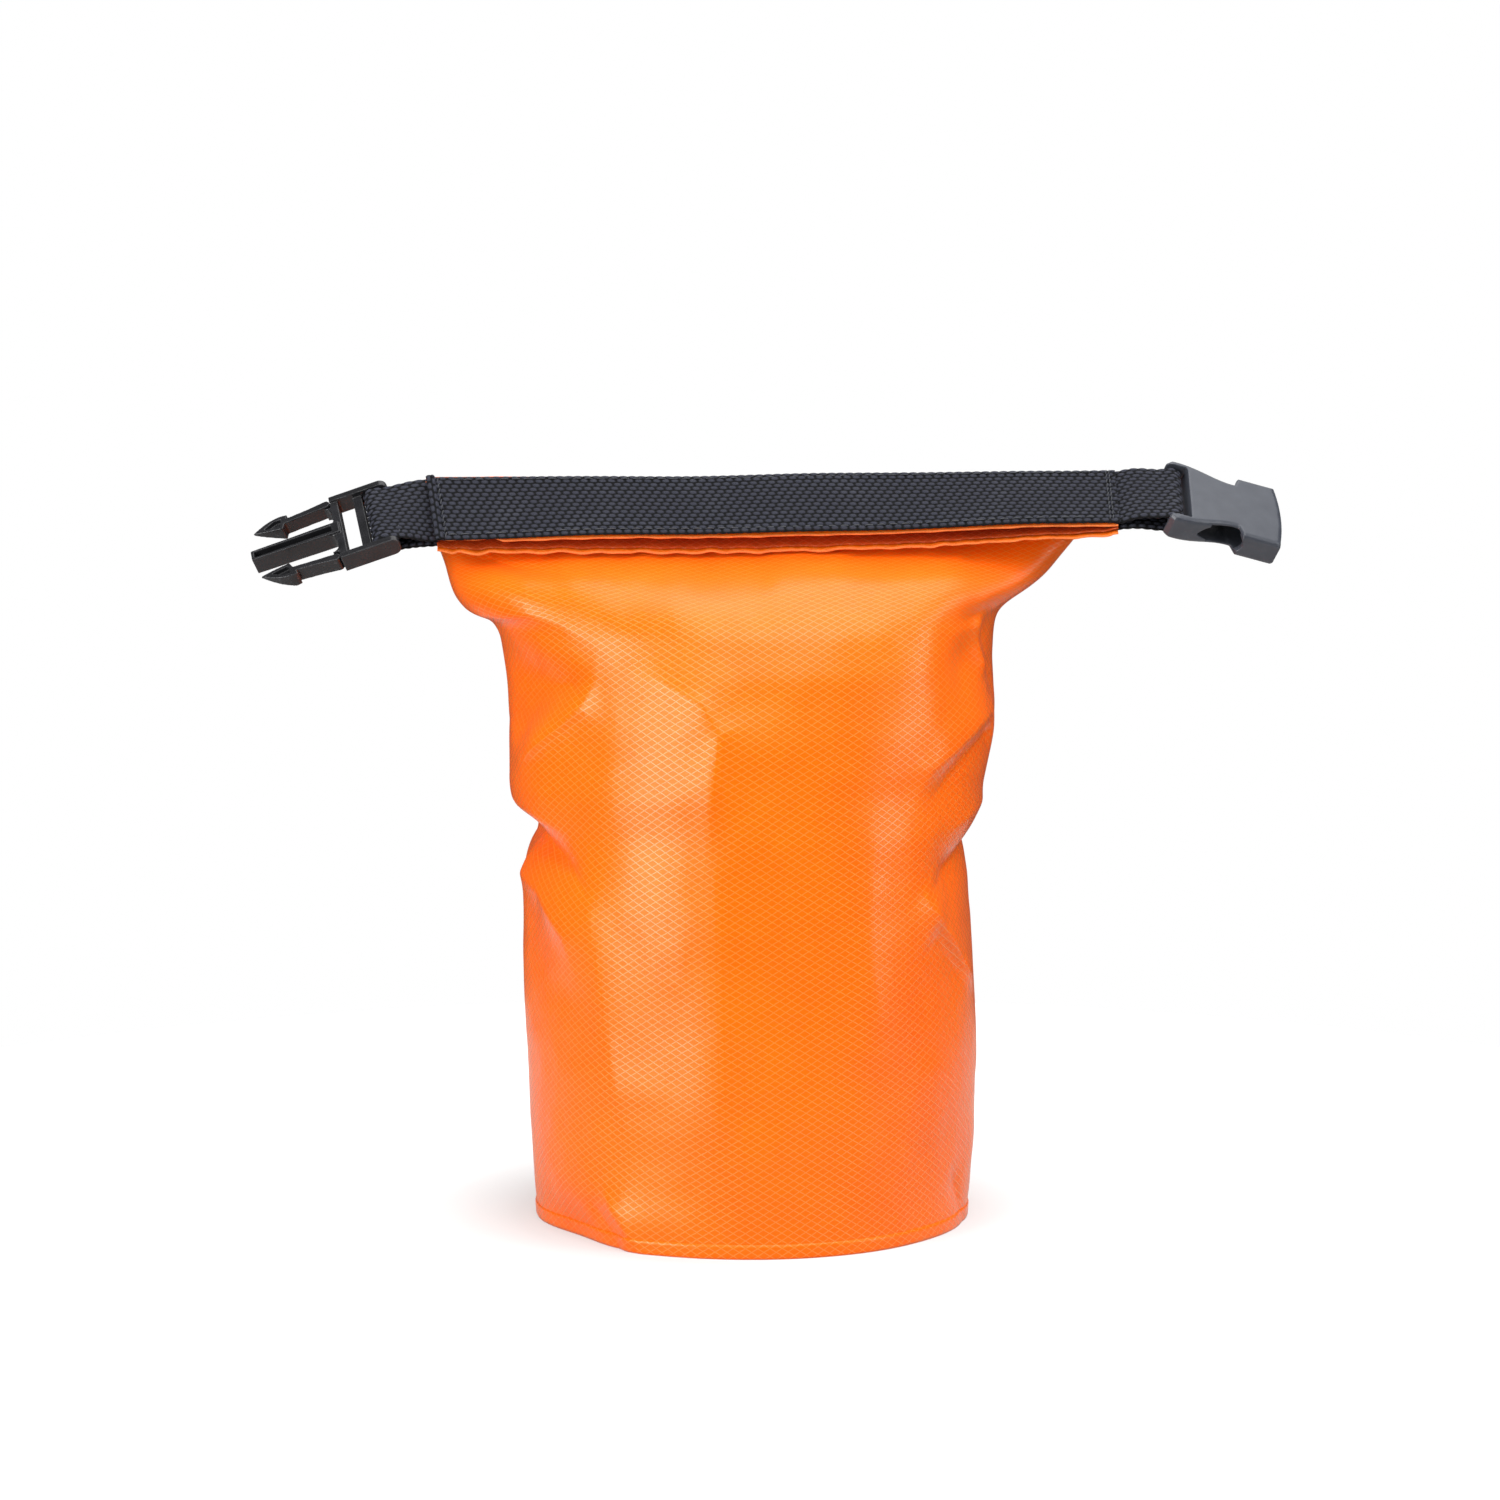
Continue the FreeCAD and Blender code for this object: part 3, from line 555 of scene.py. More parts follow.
# how the fabric stands out or in: each row is a shape and its numbers, in mm
WRINKLES = (
    # left shoulder: the roll from the corner and the hollow that it curls round
    (crease, ((-146, 205), (-110, 207), (-76, 204), (-52, 195), (-42, 186)), 4.2, 8, 7, (0.1, 0.5)),
    (hollow, ((-128, 198), (-104, 197.5), (-80, 196), (-62, 191), (-54, 184), (-57, 176),
              (-74, 165), (-98, 154)), -5.0, 15),
    (crease, ((-114, 228), (-94, 222), (-74, 217), (-54, 214)), -2.0, 6, 3.5, (0.1, 0.6)),
    # lit facet beside the hollow, and its sharp right-hand rim
    (crease, ((-52, 184), (-58, 174), (-76, 162), (-98, 151)), 1.8, 2.5, 14, (0.25, 0.4)),
    (crease, ((-46, 186), (-28, 182), (-15, 176), (-9, 167), (-10, 152),
              (-14, 128)), 3.4, 5.5, 26, (0.45, 0.35)),
    # left pinch and its ridges
    (crease, ((-122, 134), (-92, 130), (-66, 122), (-50, 112)), -6.0, 4.5, 5, (0.0, 0.45)),
    (crease, ((-118, 143), (-86, 138), (-62, 131)), 2.6, 7, 4, (0.1, 0.4)),
    (crease, ((-108, 118), (-84, 113), (-66, 100), (-58, 80)), 2.4, 7, 6, (0.1, 0.5)),
    # long panels down the front
    (crease, ((-13, 140), (-9, 110), (-9, 60), (-14, 14)), 1.5, 11, 16, (0.3, 0.3)),
    (crease, ((-56, 124), (-52, 100), (-46, 60), (-40, 24)), 1.3, 10, 14, (0.2, 0.3)),
    (dent, (-82, 92), (22, 26), -2.2, 10),
    (dent, (14, 105), (16, 60), -1.3, 3),
    (dent, (-31, 60), (15, 40), -0.8),
    (crease, ((42, 150), (40, 100), (46, 50)), 1.0, 14, 14, (0.4, 0.4)),
    # right shoulder, hollow and slanting ridge
    (crease, ((90, 206), (99, 190), (112, 172)), -2.6, 8, 8, (0.3, 0.35)),
    (crease, ((86, 204), (90, 192), (96, 181)), 2.0, 5, 4, (0.2, 0.3)),
    (dent, (81, 187), (12, 10), -2.6, 30),
    (crease, ((110, 174), (88, 168), (64, 154), (56, 140)), 2.8, 7, 9, (0.3, 0.4)),
    (crease, ((104, 166), (82, 157), (64, 142)), -3.0, 5, 5, (0.15, 0.35)),
    # right pinch, with the three-sided facet under it
    (crease, ((122, 129), (100, 126), (82, 121), (62, 111)), -4.6, 7, 6, (0.0, 0.4)),
    (crease, ((116, 141), (92, 138), (72, 131)), 1.6, 7, 5, (0.1, 0.4)),
    (crease, ((60, 116), (74, 101), (90, 86), (108, 76)), 2.6, 8, 5, (0.2, 0.4)),
    (crease, ((66, 104), (80, 90), (92, 78)), -1.6, 4, 6, (0.2, 0.4)),
    # foot: the tucked corner on the left and a small crease on the right
    (crease, ((-54, 22), (-44, 9), (-33, -4)), 2.6, 4, 7, (0.4, 0.0)),
    (crease, ((-62, 16), (-52, 7), (-44, -4)), -2.0, 6, 4, (0.4, 0.0)),
    (crease, ((80, 24), (88, 12), (96, 0)), -1.6, 4, 5, (0.4, 0.0)),
    # fullness under the mouth
    (dent, (-70, 212), (34, 6), 1.4),
    (dent, (48, 212), (40, 6), 1.6),
    # back: pinches opposite the front ones and long slack panels
    (crease, ((-202, 143.9), (-168, 130), (-134, 116.1)), -4.5, 5, 6, (0.35, 0.35)),
    (crease, ((134, 121.8), (168, 130), (202, 138.2)), -4.2, 5, 6, (0.35, 0.35)),
    (crease, ((-196, 186), (-170, 170), (-150, 150)), 3.0, 8, 7, (0.3, 0.3)),
    (crease, ((200, 190), (176, 172), (160, 146)), 3.0, 7, 8, (0.3, 0.3)),
    (crease, ((-178, 104), (-184, 60), (-176, 20)), 1.4, 14, 12, (0.3, 0.3)),
    (crease, ((186, 100), (182, 60), (190, 18)), 1.4, 12, 14, (0.3, 0.3)),
)


def wrinkles(s, z):
    """How far the fabric stands out or in, in mm, at the place s round the bag and the height z."""
    return sum(shape(s, z, *numbers) for shape, *numbers in WRINKLES)


def slack(s, z):
    """Small uneven slackness all over, in mm, of 9, 22 and 60 cells that repeat round the bag."""
    turns = s / (FABRIC_ROUND / MM)
    broad = lattice_noise(turns * 9 + 40, z / 52 + 3, 11, 9) * 1.1
    panel = signed_power(lattice_noise(turns * 22 + 44, z / 26 + 7, 12, 22), 1.4) * 0.5
    fine = lattice_noise(turns * 60 + 60, z / 9 + 5, 13, 60) * 0.12
    return broad + panel + fine


def mouth_gathers(s, z):
    """Fine pleats that run down from the mouth over the shoulder, in mm."""
    turns = s / (FABRIC_ROUND / MM)
    pleats = lattice_noise(turns * 34 + 68, z / 60 + 9, 21, 34)
    return pleats * 0.8 * smooth_step(196, 214, z) * (1 - smooth_step(228, 241, z))


ROWS = 400
shares, rows, lengths = section_rows(ROWS)
bag_points = np.stack([section_loop(rows[k], shares[k] * NECK_Z) for k in range(ROWS)])
round_share = np.arange(AROUND) / AROUND
round_mm = np.broadcast_to((round_share * FABRIC_ROUND - FABRIC_ROUND / 2) / MM, (ROWS, AROUND))
height_mm = np.broadcast_to((shares * NECK_Z / MM)[:, None], (ROWS, AROUND))
bag_uv = np.stack([round_mm * MM, np.broadcast_to(lengths[:, None], (ROWS, AROUND))], axis=-1)


def closed_normals(points):
    """Unit outward normals of a surface that wraps along its columns."""
    wide = np.concatenate([points[:, -2:], points, points[:, :2]], axis=1)
    return surface_normals(wide)[:, 2:-2]


bag_normals = closed_normals(bag_points)
stand_out = wrinkles(round_mm, height_mm) + slack(round_mm, height_mm) + mouth_gathers(round_mm, height_mm)
# calmer near the fold line, where the mouth holds the fabric flat, and at the foot, where the weld holds it
stand_out = stand_out * (1 - smooth_step(214, 234, height_mm) * 0.9) * (1 - smooth_step(234, 242, height_mm))
stand_out = stand_out * (0.35 + 0.65 * smooth_step(0, 14, height_mm))
tuck = dent(round_mm, height_mm, (-70, 0), (22, 13), -5.0) * (1 - smooth_step(-47, -41, round_mm))
stand_out = stand_out + tuck
bag_points = bag_points + bag_normals * (stand_out * MM)[..., None]
bag_points[..., 2] = np.maximum(bag_points[..., 2], 0.0)
bag_points[0, :, 2] = 0.0
bag_normals = closed_normals(bag_points)


def closed_skin(name, outer, inner, uv):
    """A tube with an outer and an inner face, joined at both ends."""
    stack = np.concatenate([outer, inner[::-1]])
    full_uv = np.concatenate([uv, uv[::-1]])
    return grid_mesh(name, stack, wrap_u=True, wrap_v=True, uv=full_uv)


bag_inner = bag_points - bag_normals * FABRIC_THICK
bag_inner[..., 2] = np.maximum(bag_inner[..., 2], 0.0)
body_wall = closed_skin("bag_fabric", bag_points, bag_inner, bag_uv)
finish_piece(body_wall, FABRIC, "bag", "coated_fabric", "body_wall")

# round base, following the foot of the tube: its rings' shares of the foot and their heights in mm
DISC_RINGS = ((1.0, 0.05), (0.985, 0.15), (0.93, 0.35), (0.75, 0.6), (0.5, 0.75), (0.25, 0.8), (0.02, 0.8))
DISC_THICK = 0.5 * MM
disc_under = [bag_inner[0] * (share, share, 0) + (0, 0, lift * MM) for share, lift in DISC_RINGS]
disc_rings = np.array(disc_under + [ring + (0, 0, DISC_THICK) for ring in disc_under[::-1]])
base = grid_mesh("base_fabric", disc_rings, wrap_u=True, wrap_v=True, uv=disc_rings[..., :2])
finish_piece(base, FABRIC, "bag", "coated_fabric", "base_disc")

# welded lap round the foot
LAP_HEIGHT_MM = 4.2
LAP_GAP = 0.02 * MM
lap_rows = int(np.searchsorted(height_mm[:, 0], LAP_HEIGHT_MM)) + 1
lap_lift = np.interp(np.arange(lap_rows), (0, 1, lap_rows - 2, lap_rows - 1), (0.3, 0.55, 0.5, 0.05)) * MM
lap_outer = bag_points[:lap_rows] + bag_normals[:lap_rows] * lap_lift[:, None, None]
lap_outer[0, :, 2] = 0.0
lap_inner = bag_points[:lap_rows] + bag_normals[:lap_rows] * LAP_GAP
lap_piece = closed_skin("base_weld", lap_outer, lap_inner, bag_uv[:lap_rows])
finish_piece(lap_piece, FABRIC, "bag", "coated_fabric", "base_weld_band")

# tape over the back seam, which is where the tube's columns begin
TAPE_HALF_WIDTH = 8 * MM
TAPE_LIFT = 0.22 * MM
TAPE_THICK = 0.35 * MM
tape_half = int(TAPE_HALF_WIDTH / FABRIC_ROUND * AROUND) + 1
tape_rows = slice(int(0.03 * ROWS), int(0.955 * ROWS))
tape_columns = np.arange(-tape_half, tape_half + 1)
tape_normals = bag_normals[tape_rows][:, tape_columns % AROUND]
tape_middle = bag_points[tape_rows][:, tape_columns % AROUND] + tape_normals * TAPE_LIFT
tape_uv = np.stack(np.meshgrid(tape_columns / AROUND * FABRIC_ROUND, lengths[tape_rows]), axis=-1)
tape = thick_sheet("seam_tape_skin", tape_middle.transpose(1, 0, 2), tape_normals.transpose(1, 0, 2),
                   TAPE_THICK, uv=tape_uv.transpose(1, 0, 2))
finish_piece(tape, FABRIC, "bag", "coated_fabric", "back_seam_tape")


# ---------------------------------------------------------------- mouth
def lean(x):
    """How much more the folded mouth leans out at x than its hinge says, in radians; most at its right end."""
    return np.radians(-2.0 + 7.0 * smooth_step(-0.105, -0.035, x) + 6.5 * smooth_step(0.030, 0.100, x))


def ridge_lift(x):
    """How much the fold line rises towards the right."""
    return 1.3 * MM * smooth_step(-0.02, 0.10, x) + 0.25 * MM * np.sin(x * 55.0)


def slab(x, up, out):
    """A point of the folded mouth: x along it, up the slope from the fold line, out from it."""
    x, up, out = np.broadcast_arrays(x, up, out)
    tilt = FOLD_TILT + lean(x)
    y = FOLD[1] + up * np.sin(tilt) - out * np.cos(tilt)
    z = FOLD[2] + up * np.cos(tilt) + out * np.sin(tilt) + ridge_lift(x)
    return np.stack([x, y, z], axis=-1)


def slab_frame(x, up, out):
    """A slab point and its outward direction."""
    point = slab(x, up, out)
    return point, unit(slab(x, up, out + 1 * MM) - point)


def slab_sheet(name, x, up, out, thickness, uv=None):
    """A thick sheet over (rows across, columns along) arrays of slab places."""
    return thick_sheet(name, *slab_frame(x, up, out), thickness, uv=uv)


COLUMN_PITCH = 3.0 * MM       # weave, along the webbing and across it
ROW_PITCH = WEB_WIDTH / 15
WEAVE_HEIGHT = 0.52 * MM
WEAVE_MIDDLE = 0.6            # the relief that lies at the webbing's own surface
WEB_STEP_ALONG = 0.42 * MM    # size of the mesh that carries the weave
WEB_STEP_ACROSS = 0.36 * MM
WEB_EDGE = 0.9 * MM           # how far in the webbing's edges are rounded


def weave(along, across):
    """Relief of the basket weave, 0 in the gaps and 1 on the floats."""
    row = across / ROW_PITCH
    row_number = np.floor(row)
    column = along / COLUMN_PITCH + 0.5 * (row_number % 2) + 0.12 * row
    in_column = np.cos(math.pi * (column - np.floor(column) - 0.5))
    in_row = np.cos(math.pi * (row - row_number - 0.5))
    return np.clip(in_column, 0, 1) ** 0.75 * np.clip(in_row, 0, 1) ** 0.6


def paint_relief(piece, values):
    """Stores a number for each vertex, which the webbing's material reads to paint shade into the weave's gaps.
    """
    attribute = piece.data.attributes.new("relief", "FLOAT", "POINT")
    attribute.data.foreach_set("value", values.astype(np.float32).ravel())


def woven_strip(name, place, length, width, thickness):
    """Closed webbing with its weave raised on both faces. place(along, across) gives (point, normal) arrays."""
    along = np.linspace(0, length, int(length / WEB_STEP_ALONG))
    across = np.linspace(-width / 2, width / 2, int(width / WEB_STEP_ACROSS))
    a, c = np.meshgrid(along, across, indexing="ij")
    edge = np.clip((width / 2 - np.abs(c)) / WEB_EDGE, 0, 1)
    half = thickness / 2 * (0.35 + 0.65 * np.sqrt(1 - (1 - edge) ** 2))
    front = weave(a, c + width / 2)
    back = weave(a + COLUMN_PITCH / 2, c + width / 2)
    point, normal = place(a, c)
    outer = point + normal * (half + (front - WEAVE_MIDDLE) * WEAVE_HEIGHT)[..., None]
    inner = point - normal * (half + (back - WEAVE_MIDDLE) * WEAVE_HEIGHT)[..., None]
    loop = np.concatenate([outer, inner[:, ::-1]], axis=1)
    uv = np.stack([np.concatenate([part, part[:, ::-1]], axis=1) for part in (a, c)], axis=-1)
    piece = grid_mesh(name, loop, wrap_u=True, uv=uv, caps=True)
    paint_relief(piece, np.concatenate([front, back[:, ::-1]], axis=1))
    return piece


BAND_MIDDLE = -11.4 * MM      # middle of the webbing's width, up the slope from the fold line


def band_end(across):
    """Where the band begins at its slanted left end."""
    return MOUTH_L + (0.5 + 4.2 * (0.5 - across / WEB_WIDTH)) * MM


def band_place(along, across):
    """Point and normal of the band's middle surface."""
    start = band_end(across)
    x = start + along / (MOUTH_R - MOUTH_L) * (MOUTH_R - start)
    up = BAND_MIDDLE + across
    sway = 0.35 * MM * np.sin(x * 38 + 1) + 0.2 * MM * np.sin(x * 91)
    over = np.clip(up + 0.5 * MM, 0, None)
    out = WEB_OUT + sway * smooth_step(-0.02, -0.006, -np.abs(across)) - over ** 2 * 90
    return slab_frame(x, up, out)


band = woven_strip("roll_webbing_weave", band_place, MOUTH_R - MOUTH_L, WEB_WIDTH, WEB_THICK)
finish_piece(band, WEBBING, "rolltop", "webbing", "roll_webbing")


# turned-over hem at the band's left end, raised one layer more
def hem_place(along, across):
    """A narrow strip across the band's end; along runs down the slanted end."""
    place_across = WEB_WIDTH / 2 - along
    x = band_end(place_across) + 1.4 * MM + across
    up = BAND_MIDDLE + place_across
    out = WEB_OUT + WEB_THICK * 0.62 - np.clip(np.abs(across) - 0.9 * MM, 0, None) * 0.9
    return slab_frame(x, up, out)


hem = woven_strip("left_end_hem_weave", hem_place, WEB_WIDTH, 3.0 * MM, 0.9 * MM)
finish_piece(hem, WEBBING, "rolltop", "webbing", "left_end_hem")

# back fabric lip and front fabric lip, bowed apart in the middle and meeting at the ends
LIP_COLUMNS = 700
LIP_ROWS = 44
NECK_LENGTH = 0.25            # the fabric's length up to the fold line, where its pattern runs on
lip_x = np.linspace(MOUTH_L + 0.4 * MM, MOUTH_R - 0.4 * MM, LIP_COLUMNS)
lip_q = (lip_x - MOUTH_L) / (MOUTH_R - MOUTH_L)
bow = np.clip(np.sin(math.pi * np.clip(lip_q * 1.01, 0, 1)), 0, 1) ** 0.45
scallop = (np.sin(lip_x / 11.5 / MM * FULL_TURN + 1.2 * np.sin(lip_x * 60)) * 0.5
           + 0.5 * lattice_noise(lip_x / (7 * MM) + 50, 2, 31))
crinkle = lattice_noise(lip_x / (4.2 * MM) + 90, 5, 32)
lip_share = np.linspace(0, 1, LIP_ROWS)[:, None]


def lip(name, material, cut, reach, out_low, out_high, wave, ripple, thickness, *nodes):
    """One fabric lip from the fold line down to a wavy raw edge, which has the cut material.

    It stands out_high from the fold line at its top and out_low at its edge.
    """
    top = -0.4 * MM
    up = top - lip_share * (reach + wave * scallop + top)
    out = out_high + lip_share ** 1.3 * (out_low - out_high) + ripple * crinkle * lip_share ** 3
    slant = band_end(np.clip(up - BAND_MIDDLE, -WEB_WIDTH / 2, WEB_WIDTH / 2)) - MOUTH_L
    x = lip_x + slant * (1 - smooth_step(0.002, 0.016, lip_x - MOUTH_L))
    piece = slab_sheet(name, x, up, out, thickness, np.stack([x, NECK_LENGTH - up], axis=-1))
    finish_piece(piece, material, "rolltop", "coated_fabric", *nodes)
    piece.data.materials.append(cut)
    ring = 2 * LIP_ROWS + 4
    for strip_start in range(LIP_COLUMNS - 1):
        for step in range(LIP_ROWS - 2, LIP_ROWS + 2):
            piece.data.polygons[strip_start * ring + step].material_index = 1


hidden_left = 1 - smooth_step(-84 * MM, -80 * MM, lip_x)
back_reach = 24.0 * MM - hidden_left * 1.2 * MM
front_low = BACK_LIP_OUT - 0.7 * MM - 3.9 * MM * bow
lip("back_lip_fabric", FABRIC, RAW_EDGE, back_reach, BACK_LIP_OUT, BACK_LIP_OUT,
    0.25 * MM, 0.12 * MM, 0.55 * MM, "back_lip")
# the front lip and its hem use the darker copies of the fabric, painted shade under the webbing
lip("front_lip_fabric", FABRIC_INSIDE_PAINTED_SHADE, FABRIC_INSIDE_PAINTED_SHADE, 24.6 * MM, front_low, 0.45 * MM,
    0.35 * MM, 0.35 * MM, 0.45 * MM, "front_lip")
lip("front_lip_hem", FABRIC_SHADED, RAW_EDGE, 25.9 * MM, front_low - 1.0 * MM, -0.15 * MM,
    0.6 * MM, 0.5 * MM, 0.45 * MM)

# stiffener between fabric and webbing
stiff_x = np.linspace(MOUTH_L + 5 * MM, MOUTH_R - 4 * MM, 120)
stiff_up = np.linspace(-22.5, -0.8, 12)[:, None] * MM
stiff = slab_sheet("stiffener", stiff_x, stiff_up, 5.88 * MM, 0.45 * MM)
finish_piece(stiff, STIFF_PLASTIC, "rolltop", "stiffener", "stiffener_strip")

# back fabric over the fold line, bent round it as far as the mouth is folded at rest
FOLD_RADIUS = 5.15 * MM
fold_turns = np.linspace(-0.12, 1.0, 40)[:, None]
fold_x = np.linspace(MOUTH_L + 0.3 * MM, MOUTH_R - 0.3 * MM, 400)
fold_angle = fold_turns * (math.pi - FOLD_TILT - lean(fold_x))
fold_radius = FOLD_RADIUS + 0.12 * MM * lattice_noise(fold_x / (6 * MM) + 30, 1, 41)
fold_radius = fold_radius * (1 - 0.17 * np.sin(math.pi * np.clip(fold_turns * 1.15, 0, 1)))
fold_middle = np.stack([
    np.broadcast_to(fold_x, fold_angle.shape),
    FOLD[1] + fold_radius * np.cos(np.maximum(fold_angle, 0)) + np.where(fold_angle < 0, 0.35 * MM, 0),
    FOLD[2] + fold_radius * np.sin(np.maximum(fold_angle, 0)) + np.minimum(fold_angle, 0) * 8 * MM
    + ridge_lift(fold_x) * np.clip(fold_turns * 2, 0, 1),
], axis=-1)
fold_normals = unit(np.cross(np.gradient(fold_middle, axis=0), np.gradient(fold_middle, axis=1)))
fold_up = np.broadcast_to(NECK_LENGTH + fold_turns * 13 * MM, fold_angle.shape)
fold_piece = thick_sheet("fold_over_fabric", fold_middle, fold_normals, 0.5 * MM,
                         uv=np.stack([fold_middle[..., 0], fold_up], axis=-1))
tuple(slab(0.0, 0.0, FOLD_RADIUS))
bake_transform(fold_piece)
finish_piece(fold_piece, FABRIC, None, "coated_fabric", "fold_fabric")


# ---------------------------------------------------------------- stitching
STITCH_SIDES = 6
STITCH_STATIONS = 7
STITCH_RADIUS = 0.22 * MM


def stitches(name, places, body, *nodes):
    """Short rounded threads, one per (start, end, outward direction), as one piece."""
    verts = []
    faces = []
    for start, end, rise in places:
        rise = unit(rise)
        side = np.cross(unit(end - start), rise)
        first = len(verts)
        for k in range(STITCH_STATIONS):
            share = k / (STITCH_STATIONS - 1)
            arch = math.sin(math.pi * share)
            centre = start + (end - start) * share + rise * (arch * 0.25 - 0.12) * MM
            radius = STITCH_RADIUS * (0.55 + 0.45 * arch)
            for j in range(STITCH_SIDES):
                angle = FULL_TURN * j / STITCH_SIDES
                verts.append(centre + (side * math.cos(angle) + rise * math.sin(angle)) * radius)
        for k in range(STITCH_STATIONS - 1):
            for j in range(STITCH_SIDES):
                a = first + k * STITCH_SIDES + j
                b = first + k * STITCH_SIDES + (j + 1) % STITCH_SIDES
                faces.append((a, b, b + STITCH_SIDES, a + STITCH_SIDES))
        faces.append(range(first + STITCH_SIDES - 1, first - 1, -1))
        faces.append(range(len(verts) - STITCH_SIDES, len(verts)))
    mesh = bpy.data.meshes.new(name)
    mesh.from_pydata([tuple(v) for v in verts], [], [tuple(face) for face in faces])
    mesh.polygons.foreach_set("use_smooth", [True] * len(mesh.polygons))
    return finish_piece(linked_piece(name, mesh), THREAD, body, "thread", *nodes)


def band_stitch(x0, up0, x1, up1):
    """One stitch on the band's outer face."""
    out = WEB_OUT + WEB_THICK / 2 + 0.12 * MM
    start, rise = slab_frame(x0, up0, out)
    return start, slab(x1, up1, out), rise


def stitch_line(up):
    """A row of stitches along the band."""
    pitch = 4.0 * MM
    length = 2.7 * MM
    first = MOUTH_L + 9 * MM
    count = int((MOUTH_R - MOUTH_L - 16 * MM) / pitch)
    return [band_stitch(first + k * pitch, up, first + k * pitch + length, up) for k in range(count)]


def cross_stitches(x_of):
    """A dense row of 11 stitches across the band; x_of gives a stitch's x from its place across."""
    row = []
    for across in (np.arange(11) / 10 - 0.5) * (WEB_WIDTH - 3.4 * MM):
        row.append(band_stitch(x_of(across), BAND_MIDDLE + across - 0.9 * MM,
                               x_of(across) + 0.3 * MM, BAND_MIDDLE + across + 0.9 * MM))
    return row


ROW_FROM_MIDDLE = WEB_WIDTH / 2 - 1.7 * MM
stitches("upper_stitches", stitch_line(BAND_MIDDLE + ROW_FROM_MIDDLE), "rolltop", "upper_stitch_row")
stitches("lower_stitches", stitch_line(BAND_MIDDLE - ROW_FROM_MIDDLE), "rolltop", "lower_stitch_row")
stitches("left_bar_tack", cross_stitches(lambda across: band_end(across) + 3.6 * MM), "rolltop",
         "left_end_stitches")
stitches("right_bar_tack", cross_stitches(lambda across: MOUTH_R - 2.2 * MM)
         + cross_stitches(lambda across: MOUTH_R - 3.2 * MM), "rolltop", "right_end_stitches")


# ---------------------------------------------------------------- tabs
BAR_RADIUS = 2.08 * MM        # the buckle bars that the webbing goes round


def tab_axes(bend_name, swivel_name):
    """Root, and unit directions along, across and out of a tab; then its length to the buckle's bar."""
    root = np.array(joints[bend_name]["pos_m"])
    bar = np.array(joints[swivel_name]["pos_m"])
    across = unit(joints[swivel_name]["axis"])
    along = unit(bar - root)
    out = np.cross(along, across)
    if out[2] < 0:
        across, out = -across, -out
    return root, along, across, out, np.linalg.norm(bar - root)


def tab_path(length, overlap, bulge):
    """The webbing's middle line as (along, out) rows: out over the bar, round it and back underneath."""
    radius = BAR_RADIUS + WEB_THICK / 2 + 0.02 * MM
    close = WEB_THICK / 2 + 0.1 * MM
    angles = np.linspace(math.pi / 2, -math.pi / 2, 26)[1:-1]
    straight = np.linspace(-overlap, length, 40)
    share = smooth_step(-overlap, length, straight)
    spread = close + (radius - close) * share
    swell = bulge * np.sin(math.pi * share)
    upper = np.stack([straight, spread + swell], axis=1)
    loop = np.stack([length + radius * np.cos(angles), radius * np.sin(angles)], axis=1)
    lower = np.stack([straight, 0.6 * swell - spread], axis=1)[::-1]
    return np.concatenate([upper, loop, lower])


def tab_piece(name, axes, node, overlap, bulge, mouth_x):
    """Webbing sewn under the band at mouth_x, out over the buckle's bar and back again."""
    root, along, across, out, length = axes
    path = tab_path(length, overlap, bulge)
    run = np.concatenate([[0], np.cumsum(np.linalg.norm(np.diff(path, axis=0), axis=1))])
    # the sewn end lies as wide and as far out as the band does there
    sewn = slab(mouth_x, BAND_MIDDLE, WEB_OUT - WEB_THICK * 1.75) - root
    sewn_shift = sewn - along * (sewn @ along)
    sewn_across = unit(slab(mouth_x, 1 * MM, 0.0) - slab(mouth_x, 0.0, 0.0))
    if across @ sewn_across <= 0:
        sewn_across = -sewn_across

    def place(a, c):
        """Point and normal of the webbing at a along its middle line and c across it."""
        t, n = (np.interp(a, run, path[:, k]) for k in (0, 1))
        dt, dn = (np.interp(a, run, np.gradient(path[:, k], run)) for k in (0, 1))
        share = smooth_step(-overlap, length * 0.9, t)[..., None]
        width_direction = unit(sewn_across * (1 - share) + across * share)
        point = (root + along * t[..., None] + out * n[..., None] + width_direction * c[..., None]
                 + sewn_shift * (1 - share))
        return point, unit(out * dt[..., None] - along * dn[..., None])

    piece = woven_strip(name, place, run[-1], WEB_WIDTH, WEB_THICK)
    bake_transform(piece)
    finish_piece(piece, WEBBING, None, "webbing", node)


def tab_tack(name, axes, body, node):
    """Nine stitches across a tab near its root."""
    root, along, across, out, _ = axes
    row = []
    for place in (np.arange(9) / 8 - 0.5) * (WEB_WIDTH - 6 * MM):
        centre = root + along * 5.0 * MM + across * place + out * 3.1 * MM
        row.append((centre - across * 0.8 * MM, centre + across * 0.8 * MM, out))
    stitches(name, row, body, node)


left_axes = tab_axes("left_tab_bend", "plug_swivel")
right_axes = tab_axes("right_tab_bend", "socket_swivel")
tab_piece("left_tab_weave", left_axes, "left_tab_webbing", 10 * MM, 0.7 * MM, MOUTH_L)
tab_piece("right_tab_weave", right_axes, "right_tab_webbing", 6 * MM, 1.6 * MM, MOUTH_R)
tab_tack("left_tab_thread", left_axes, "left_tab", "left_tab_stitches")
tab_tack("right_tab_thread", right_axes, "right_tab", "right_tab_stitches")


# ---------------------------------------------------------------- buckle
def soften_moulding(node, material, voxel, passes):
    """Rounds a CAD moulding's edges a little, as its mould does, and gives it its plastic."""
    moulding = frame["nodes"][node]
    for material_slot in moulding.material_slots:
        material_slot.material = material
    remesh = moulding.modifiers.new("even", "REMESH")
    remesh.mode = "VOXEL"
    remesh.voxel_size = voxel
    remesh.use_smooth_shade = True
    soft = moulding.modifiers.new("soft_edges", "SMOOTH")
    soft.factor = 0.5
    soft.iterations = passes


